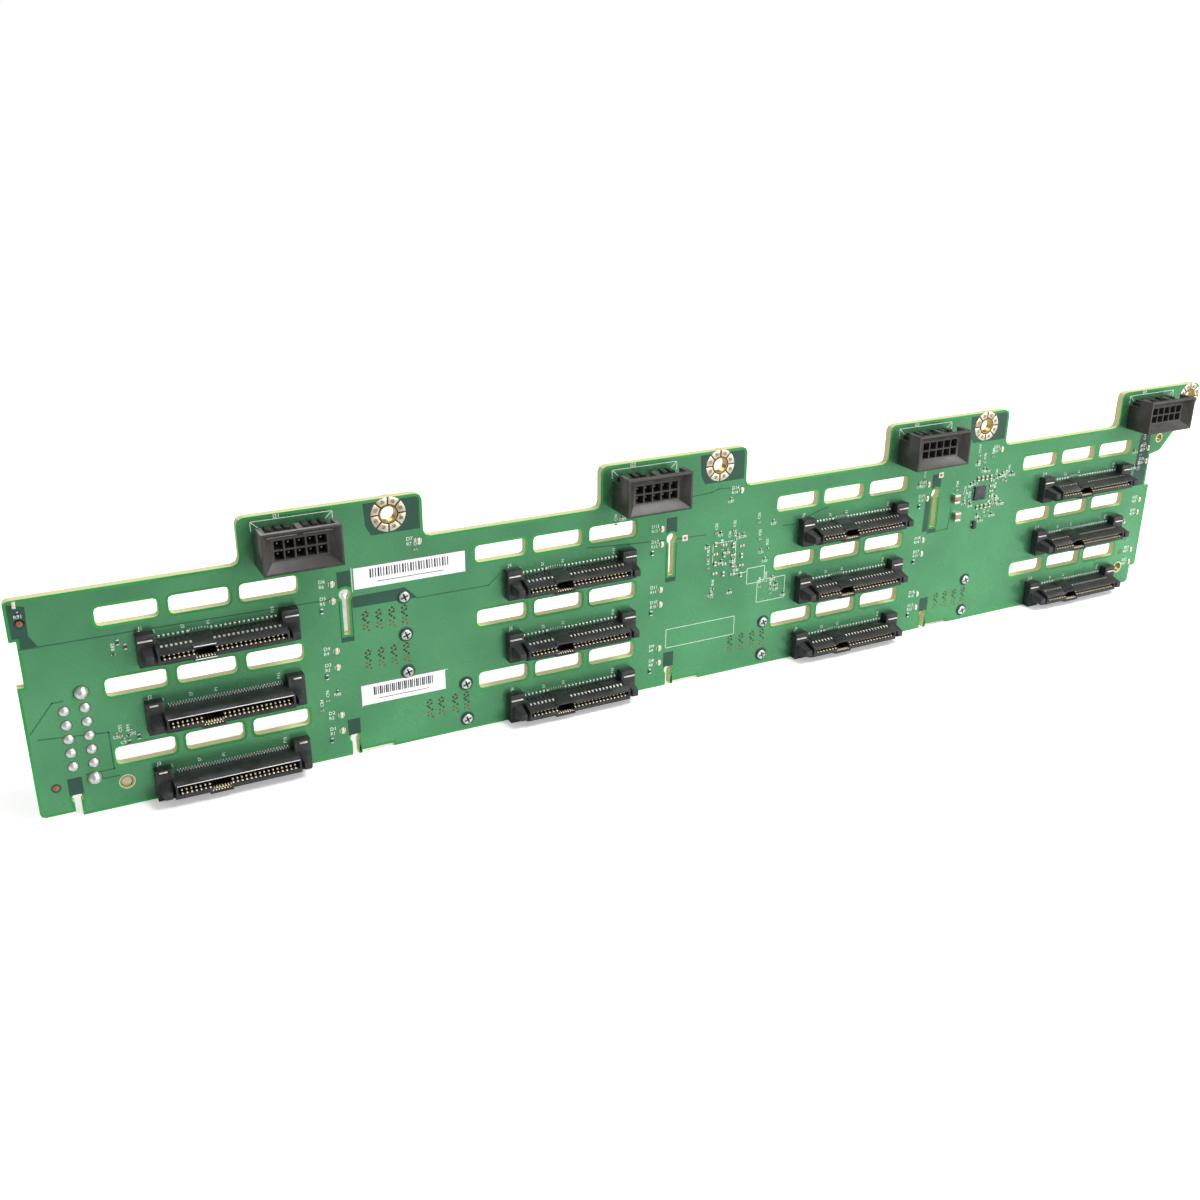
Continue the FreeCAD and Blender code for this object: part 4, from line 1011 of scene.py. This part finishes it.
class DressScrews(bpy.types.Operator):
    """Turn nine pan-head screws with crossed recesses"""

    bl_idname = "board.screws"
    bl_label = "Screws"

    def execute(self, context):
        corners = solids_of("screws")
        low, high = corners[0]
        x, _, z = middle_of(low, high)
        floors = []
        head = rounded(rod("head", x, z, 1.65 * MM, FRONT, -0.9 * MM, 32), 0.42, 4, 30.0)
        for angle in (20.0, 110.0):
            dx = math.cos(math.radians(angle)) * 0.95 * MM
            dz = math.sin(math.radians(angle)) * 0.95 * MM
            ends = ((x - dx, z - dz), (x + dx, z + dz))
            cut(head, strip("recess", *ends, 0.5 * MM, -0.2 * MM, -2.0 * MM))
            # a near-black strip at the bottom of each arm of the recess: painted shade
            floors.append(strip("recess_floor", *ends, 0.44 * MM, -0.15 * MM, -0.42 * MM))
        bpy.ops.object.shade_smooth_by_angle(angle=math.radians(35.0))
        shank = rounded(rod("shank", x, z, 0.9 * MM, FRONT, high.y, 16), 0.2, 2)
        land = rounded(rod("land", x, z, 2.35 * MM, FRONT, -0.07 * MM, 32), 0.02, 1)
        for name, piece, finish, slot, nodes in (
                ("recess_floors", joined("recess_floor", floors), "painted recess shade", "screw_steel", ()),
                ("screw_lands", land, "mask over laminate", "board", ()),
                ("pan_screws", joined("pan", [head, shank]), "zinc plate", "screw_steel", ("screws",))):
            kept(repeated(name, piece, offsets_from(corners)), finish, slot, *nodes)
        return {"FINISHED"}


class DressLamps(bpy.types.Operator):
    """Build the small lamps with their tinned ends and resin"""

    bl_idname = "board.lamps"
    bl_label = "Lamps"

    def execute(self, context):
        corners = solids_of("status_lamps")
        low, high = corners[0]
        # one more lamp sits in the board's upper left corner
        corner = Vector((-260.9 * MM, low.y, -10.4 * MM))
        corners.append((corner, corner + (high - low)))
        body = block("body", (low.x, -0.5 * MM, low.z + 0.2 * MM), (high.x, -0.02 * MM, high.z - 0.2 * MM))
        lens = block("lens", (low.x + 0.1 * MM, low.y, low.z + 0.5 * MM),
                     (high.x - 0.1 * MM, -0.4 * MM, high.z - 0.5 * MM))
        ends = [block("end", (low.x - 0.03 * MM, -0.38 * MM, z0), (high.x + 0.03 * MM, FRONT, z1))
                for z0, z1 in ((low.z - 0.15 * MM, low.z + 0.3 * MM), (high.z - 0.3 * MM, high.z + 0.15 * MM))]
        for name, piece, edge, segments, finish, slot, nodes in (
                ("lamp_bodies", body, 0.08, 2, "lamp epoxy", "lamp_body", ("status_lamps",)),
                ("lamp_lenses", lens, 0.12, 3, "lamp resin", "lamp_body", ()),
                ("lamp_ends", joined("ends", ends), 0.1, 2, "solder", "solder", ())):
            kept(repeated(name, rounded(piece, edge, segments), offsets_from(corners)), finish, slot, *nodes)
        return {"FINISHED"}


def end_capped(node, name, share):
    """Ceramic or film chips from a node's solids: bodies and their metal ends."""
    bodies = []
    ends = []
    for low, high in solids_of(node):
        along = 0 if high.x - low.x > high.z - low.z else 2
        bodies.append(block("body", low, high))
        length = (high[along] - low[along]) * share
        for side in (0, 1):
            cap_low = Vector(low) - Vector((0.02, 0.02, 0.02)) * MM
            cap_high = Vector(high) + Vector((0.02, 0.0, 0.02)) * MM
            if side:
                cap_low[along] = high[along] - length
            else:
                cap_high[along] = low[along] + length
            cap_high.y = FRONT
            ends.append(block("end", cap_low, cap_high))
    return rounded(joined(name, bodies), 0.06, 2), rounded(joined(name + "_ends", ends), 0.08, 2)


def extra_chips():
    """The small chips at EXTRA_CHIPS: every third is a film chip, and they lie and stand in turn."""
    spots = [(x * MM, 0.0, z * MM) for x, z in EXTRA_CHIPS]
    for name, finish, slot, film in (("extra_ceramics", "chip ceramic", "chip_ceramic", False),
                                     ("extra_films", "chip compound", "chip_body", True)):
        for upright in (0, 1):
            half_x, half_z = (0.25, 0.5) if upright else (0.5, 0.25)
            body = bit("body", (0.0, 0.0, 0.0), (-half_x, -0.4, -half_z), (half_x, 0.0, half_z))
            wide, tall = (0.28, 0.12) if upright else (0.12, 0.28)
            ends = []
            for side in (-0.42, 0.42):
                x, z = (0.0, side) if upright else (side, 0.0)
                ends.append(bit("end", (0.0, 0.0, 0.0), (x - wide, -0.43, z - tall), (x + wide, 0.0, z + tall)))
            places = [spot for index, spot in enumerate(spots) if (index % 3 == 1) is film and index % 2 == upright]
            kept(repeated("%s_%d" % (name, upright), rounded(body, 0.04, 1), places), finish, slot)
            kept(repeated("%s_ends_%d" % (name, upright), rounded(joined("ends", ends), 0.05, 1), places),
                 "solder", "solder")


def rear_chips():
    """Small chips on the back, behind each drive receptacle."""
    ends = [bit("end", (0.0, BACK, 0.0), (x0, 0.0, -0.28), (x1, 0.43, 0.28)) for x0, x1 in ((-0.53, -0.3), (0.3, 0.53))]
    body = bit("body", (0.0, BACK, 0.0), (-0.5, 0.0, -0.25), (0.5, 0.4, 0.25))
    places = [(middle + shift * MM, 0.0, top - drop * MM) for _, _, _, middle, top in drives()
              for shift, drop in ((-12.0, 1.2), (-10.2, 1.2), (-8.4, 1.2), (-3.0, 2.4), (-1.2, 2.4), (6.5, 1.2),
                                  (8.3, 1.2), (13.4, 2.4))]
    kept(repeated("rear_ceramics", rounded(body, 0.04, 1), places), "chip ceramic", "chip_ceramic")
    kept(repeated("rear_ceramic_ends", rounded(joined("ends", ends), 0.05, 1), places), "solder", "solder")


def controller_leads(low, high):
    """Eight leads on each side of the controller chip."""
    leads = []
    mid_x, _, mid_z = middle_of(low, high)
    for place in range(8):
        shift = (place - 3.5) * 0.5 * MM
        for z in (low.z - 0.3 * MM, high.z - 0.1 * MM):
            leads.append(bit("lead", (mid_x + shift, 0.0, z), (-0.12, -0.2, 0.0), (0.12, 0.0, 0.4)))
        for x in (low.x - 0.3 * MM, high.x - 0.1 * MM):
            leads.append(bit("lead", (x, 0.0, mid_z + shift), (0.0, -0.2, -0.12), (0.4, 0.0, 0.12)))
    return leads


def transistor_leads(low, high):
    """One lead on the transistor's left and two on its right."""
    middle = (low.z + high.z) / 2.0
    return [bit("lead", (x, 0.0, middle + shift * MM), (0.0, -0.25, -0.22), (0.65, 0.0, 0.22))
            for x, shift in ((low.x - 0.55 * MM, 0.0), (high.x - 0.1 * MM, -0.95), (high.x - 0.1 * MM, 0.95))]


def label_bars():
    """Even bars and one line on each label, which say nothing."""
    bars = []
    for low, high in solids_of("labels"):
        across = high.x - low.x
        tall = high.z - low.z
        top = high.z - 0.8 * MM
        level = low.z + tall * 0.24
        spans = [(low.x + across * (0.14 + 0.024 * place), (0.3, 0.48)[place % 3 == 0] * MM) for place in range(30)]
        bars += [block("bar", (x, low.y - 0.02 * MM, top - tall * 0.42), (x + wide, low.y + 0.02 * MM, top))
                 for x, wide in spans]
        bars.append(block("bar", (low.x + across * 0.2, low.y - 0.02 * MM, level - 0.1 * MM),
                          (low.x + across * 0.8, low.y + 0.02 * MM, level + 0.1 * MM)))
    return joined("label_bars", bars)


class DressChips(bpy.types.Operator):
    """Build the chips with their metal ends and leads, and lay the two labels"""

    bl_idname = "board.chips"
    bl_label = "Chips and labels"

    def execute(self, context):
        for node, name, finish, slot, share in (
                ("chip_capacitors", "small_capacitors", "chip ceramic", "chip_ceramic", 0.27),
                ("large_capacitors", "large_ceramics", "chip ceramic", "chip_ceramic", 0.24),
                ("chip_resistors", "film_resistors", "chip compound", "chip_body", 0.22)):
            bodies, ends = end_capped(node, name, share)
            kept(bodies, finish, slot, node)
            kept(ends, "solder", "solder")
        extra_chips()
        rear_chips()
        low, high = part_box("controller_chip")
        chip = rounded(block("controller", low, (high.x, -0.05 * MM, high.z)), 0.1, 2)
        cut(chip, rod("dimple", low.x + 0.7 * MM, high.z - 0.7 * MM, 0.28 * MM, low.y - MM, low.y + 0.06 * MM, 16))
        kept(chip, "chip compound", "chip_body", "controller_chip")
        leads = controller_leads(low, high)
        low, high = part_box("transistor")
        body = rounded(block("transistor_body", low, (high.x, -0.08 * MM, high.z)), 0.1, 2)
        kept(body, "chip compound", "chip_body", "transistor")
        leads += transistor_leads(low, high)
        kept(rounded(joined("chip_leads", leads), 0.05, 1), "solder", "solder")
        kept(rounded(from_node("labels", "blank_labels"), 0.03, 1), "label paper", "label_paper", "labels")
        kept(label_bars(), "bar ink", "label_paper")
        return {"FINISHED"}


# X of the columns and Z of the top of each field of pins, then the places of open and plugged pins from those,
# in millimetres
PIN_FIELDS = (
    ((-169.25, -165.25, -161.35, -157.45), -28.4),
    ((-169.25, -165.25, -161.35, -157.45), -40.6),
    ((-151.05, -147.35, -142.85, -139.15), -60.9),
    ((-43.75, -39.35, -34.95, -30.95), -60.8),
    ((44.95, 49.15, 53.45, 57.65), -61.2),
)
OPEN_PINS = ((0.15, -0.2), (-0.65, -0.9), (0.55, -1.5), (-0.7, -2.2), (-0.15, -2.8), (0.65, -3.6))
PLUGGED_PINS = ((0.75, -0.7), (-0.15, -1.7), (0.35, -4.9), (-0.55, -4.2), (-0.65, -5.4), (0.75, -6.1))
# X, Z and the radius of the bare field round each
FIDUCIALS = ((-259.85, -15.0, 1.35), (-258.05, -64.0, 1.35), (137.15, -60.1, 0.9))
TEST_PADS = ((-62.75, -22.7), (41.15, -15.6))


class DressFields(bpy.types.Operator):
    """Lay the pin fields, the fiducials, the peg's lip and the test pads"""

    bl_idname = "board.fields"
    bl_label = "Pin fields and pads"

    def execute(self, context):
        rise = sizes().mask_thickness
        # the open pin holes are black discs: painted shade
        for name, finish, spots, radius in (("pin_holes", "painted hole shade", OPEN_PINS, 0.36),
                                            ("pin_plugs", "worn copper", PLUGGED_PINS, 0.34)):
            spot = rounded(rod("spot", 0.0, 0.0, radius * MM, FRONT, -rise - 0.02 * MM, 12), 0.02, 1)
            places = [((x + dx) * MM, 0.0, (top + dz) * MM) for columns, top in PIN_FIELDS for x in columns
                      for dx, dz in spots]
            kept(repeated(name, spot, places), finish, "board")
        rings = []
        centres = []
        for x, z, pad in FIDUCIALS:
            rings.append(rod("ring", x * MM, z * MM, pad * MM, FRONT, -rise - 0.01 * MM, 24))
            centres.append(rod("spot", x * MM, z * MM, pad * 0.62 * MM, FRONT, -rise - 0.03 * MM, 24))
        kept(joined("fiducial_fields", rings), "mask over laminate", "board")
        kept(joined("fiducials", centres), "bare copper", "tinned_pads")
        x, _, z = middle_of(*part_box("locating_peg"))
        kept(tube("lip", x, z, 1.95 * MM, 1.5 * MM, FRONT, -rise - 0.03 * MM), "aged gold and painted shade", "tinned_pads")
        squares = [bit("square", (0.0, 0.0, 0.0), (x - 1.0, -0.08, z - 1.0), (x + 1.0, 0.0, z + 1.0))
                   for x, z in TEST_PADS]
        spots = [rod("spot", x * MM, z * MM, 0.55 * MM, FRONT, -0.1 * MM, 20) for x, z in TEST_PADS]
        kept(rounded(joined("test_pads", squares), 0.03, 1), "tin", "tinned_pads")
        kept(joined("test_spots", spots), "bare copper", "tinned_pads")
        return {"FINISHED"}


def contact_fingers(low, high):
    """Eighteen contacts on the under and upper side of a cable receptacle's tongue."""
    return [block("finger", (x - 0.16 * MM, low.y + 0.2 * MM, level - 0.03 * MM),
                  (x + 0.16 * MM, high.y - 0.6 * MM, level + 0.03 * MM))
            for level in (low.z, high.z)
            for x in ((low.x + high.x) / 2.0 + (place - 8.5) * 0.7 * MM for place in range(18))]


class DressBack(bpy.types.Operator):
    """Press the cable shells, mould the power header and set the peg"""

    bl_idname = "board.back_parts"
    bl_label = "Back parts"

    def execute(self, context):
        for place in ("upper", "left", "middle", "right"):
            tongues = "cable_tongues_" + place
            for node, name, edge, angle, finish, slot in (
                    ("cable_receptacle_" + place, "cable_shell_" + place, 0.25, 35.0, "pressed sheet", "pressed_shell"),
                    (tongues, "cable_tongue_" + place, 0.12, 30.0, "black polymer", "black_plastic")):
                kept(rounded(from_node(node, name), edge, 2, angle), finish, slot, node)
            fingers = [finger for corners in solids_of(tongues) for finger in contact_fingers(*corners)]
            kept(joined("cable_fingers_" + place, fingers), "gold plating", "gold_contacts")
        for node, name, edge, angle, finish, slot in (
                ("power_header", "header_body", 0.15, 35.0, "charcoal nylon", "charcoal_plastic"),
                ("power_header_pins", "header_contacts", 0.2, 30.0, "tin", "tinned_metal"),
                ("locating_peg", "guide_peg", 0.25, 35.0, "natural nylon", "black_plastic")):
            kept(rounded(from_node(node, name), edge, 2, angle), finish, slot, node)
        return {"FINISHED"}


def lay_floor():
    """A pale floor that fades to plain white round the board."""
    rest()
    bpy.ops.mesh.primitive_plane_add(size=12.0, location=(0, 0, CAD_BOX[0].z))
    floor = settled("floor")
    material = bpy.data.materials.new("pale floor")
    material.use_nodes = True
    tree = material.node_tree
    tree.nodes.clear()
    camera_ray = add(tree, "LightPath").outputs["Is Camera Ray"]
    place = add(tree, "TexCoord").outputs["Object"]
    reach = add(tree, "VectorMath", {0: place}, operation="LENGTH")
    # the floor fades to plain white from 0.3 m to 0.9 m away from the board
    away = add(tree, "MapRange", {"Value": reach.outputs["Value"], "From Min": 0.3, "From Max": 0.9},
               interpolation_type="SMOOTHSTEP")
    lift = add(tree, "MapRange", {"Value": away, "To Min": 0.3, "To Max": 1.0})
    shown = add(tree, "Math", {0: lift, 1: camera_ray}, operation="MULTIPLY")
    # what the board reflects: the floor close by is bright, farther to the front it is in shade
    apart = add(tree, "SeparateXYZ", {0: place})
    shade = add(tree, "MapRange", {"Value": apart.outputs["Y"], "From Min": -0.22, "From Max": -0.03,
                                   "To Min": 0.35, "To Max": 1.0})
    bright = add(tree, "Math", {0: shade, 1: camera_ray}, operation="MAXIMUM")
    plain = add(tree, "BsdfDiffuse", {"Color": bright})
    white = add(tree, "Emission", {"Color": "#ffffff", "Strength": shown})
    add(tree, "OutputMaterial", {"Surface": add(tree, "AddShader", {0: plain, 1: white})})
    floor.data.materials.append(material)


def light_room():
    """White surroundings that light the board softly, and three soft lamps."""
    world = bpy.data.worlds.new("white room")
    world.use_nodes = True
    bpy.context.scene.world = world
    tree = world.node_tree
    tree.nodes.clear()
    path = add(tree, "LightPath")
    seen = add(tree, "Math", {0: path.outputs["Is Camera Ray"], 1: path.outputs["Is Transmission Ray"]},
               operation="MAXIMUM")
    level = add(tree, "MapRange", {"Value": seen, "To Min": 0.4, "To Max": 1.0})
    add(tree, "OutputWorld", {"Surface": add(tree, "Background", {"Color": "#ffffff", "Strength": level})})
    for name, place, width, height, power in (("key lamp", (0.45, -0.42, 0.9), 0.5, 0.4, 10.0),
                                              ("low front lamp", (0.45, -0.8, 0.1), 0.9, 0.3, 5.0),
                                              ("back lamp", (-0.2, 0.9, 0.7), 0.8, 0.5, 7.0)):
        bpy.ops.object.light_add(type="AREA", location=place)
        lamp = bpy.context.object
        lamp.name = name
        lamp.data.shape = "RECTANGLE"
        lamp.data.size = width
        lamp.data.size_y = height
        lamp.data.energy = power
        lamp.rotation_euler = (Vector((0, 0, -0.03)) - Vector(place)).to_track_quat("-Z", "Y").to_euler()


def set_camera():
    """The camera at the photograph's angle."""
    right = Vector((0.89318, -0.44965, 0.00673))
    down = Vector((-0.16862, -0.34874, -0.92193))
    forward = Vector((0.41689, 0.82231, -0.38731))
    turn = Matrix((right, -down, -forward)).transposed()
    bpy.ops.object.camera_add()
    camera = bpy.context.object
    camera.matrix_world = Matrix.Translation(Vector((-0.265867, -0.340628, 0.121708))) @ turn.to_4x4()
    camera.data.sensor_width = 36.0
    camera.data.lens = 39.317
    camera.data.clip_start = 0.01
    camera.data.clip_end = 20.0
    bpy.context.scene.camera = camera


class SetStage(bpy.types.Operator):
    """Put down a plain pale floor, soft lamps and the camera"""

    bl_idname = "board.stage"
    bl_label = "Stage"

    def execute(self, context):
        lay_floor()
        light_room()
        set_camera()
        bpy.context.scene.view_settings.view_transform = "Standard"
        return {"FINISHED"}


class BoardPanel(bpy.types.Panel):
    """Lists the steps that dress the board"""

    bl_idname = "BOARD_PT_panel"
    bl_label = "Drive backplane board"
    bl_space_type = "VIEW_3D"
    bl_region_type = "UI"
    bl_category = "Board"

    def draw(self, context):
        for step in STEPS:
            self.layout.operator(step.bl_idname)


STEPS = (MakeFinishes, DressMask, DressPlanes, DressLegend, DressRings, DressReceptacles, DressContacts,
         DressTabReceptacles, DressJoints, DressScrews, DressLamps, DressChips, DressFields, DressBack, SetStage)
GROUPS = (BoardSizes, BoardColours)


def register():
    for group in (*GROUPS, *STEPS, BoardPanel):
        bpy.utils.register_class(group)
    bpy.types.Scene.board_sizes = PointerProperty(type=BoardSizes)
    bpy.types.Scene.board_colours = PointerProperty(type=BoardColours)


def unregister():
    del bpy.types.Scene.board_colours
    del bpy.types.Scene.board_sizes
    for group in reversed((*GROUPS, *STEPS, BoardPanel)):
        bpy.utils.unregister_class(group)


def main():
    """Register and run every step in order."""
    register()
    bpy.ops.board.finishes()
    bpy.ops.board.mask()
    bpy.ops.board.planes()
    bpy.ops.board.legend()
    bpy.ops.board.rings()
    bpy.ops.board.receptacles()
    bpy.ops.board.contacts()
    bpy.ops.board.tab_receptacles()
    bpy.ops.board.joints()
    bpy.ops.board.screws()
    bpy.ops.board.lamps()
    bpy.ops.board.chips()
    bpy.ops.board.fields()
    bpy.ops.board.back_parts()
    bpy.ops.board.stage()


if __name__ == "__main__":
    main()
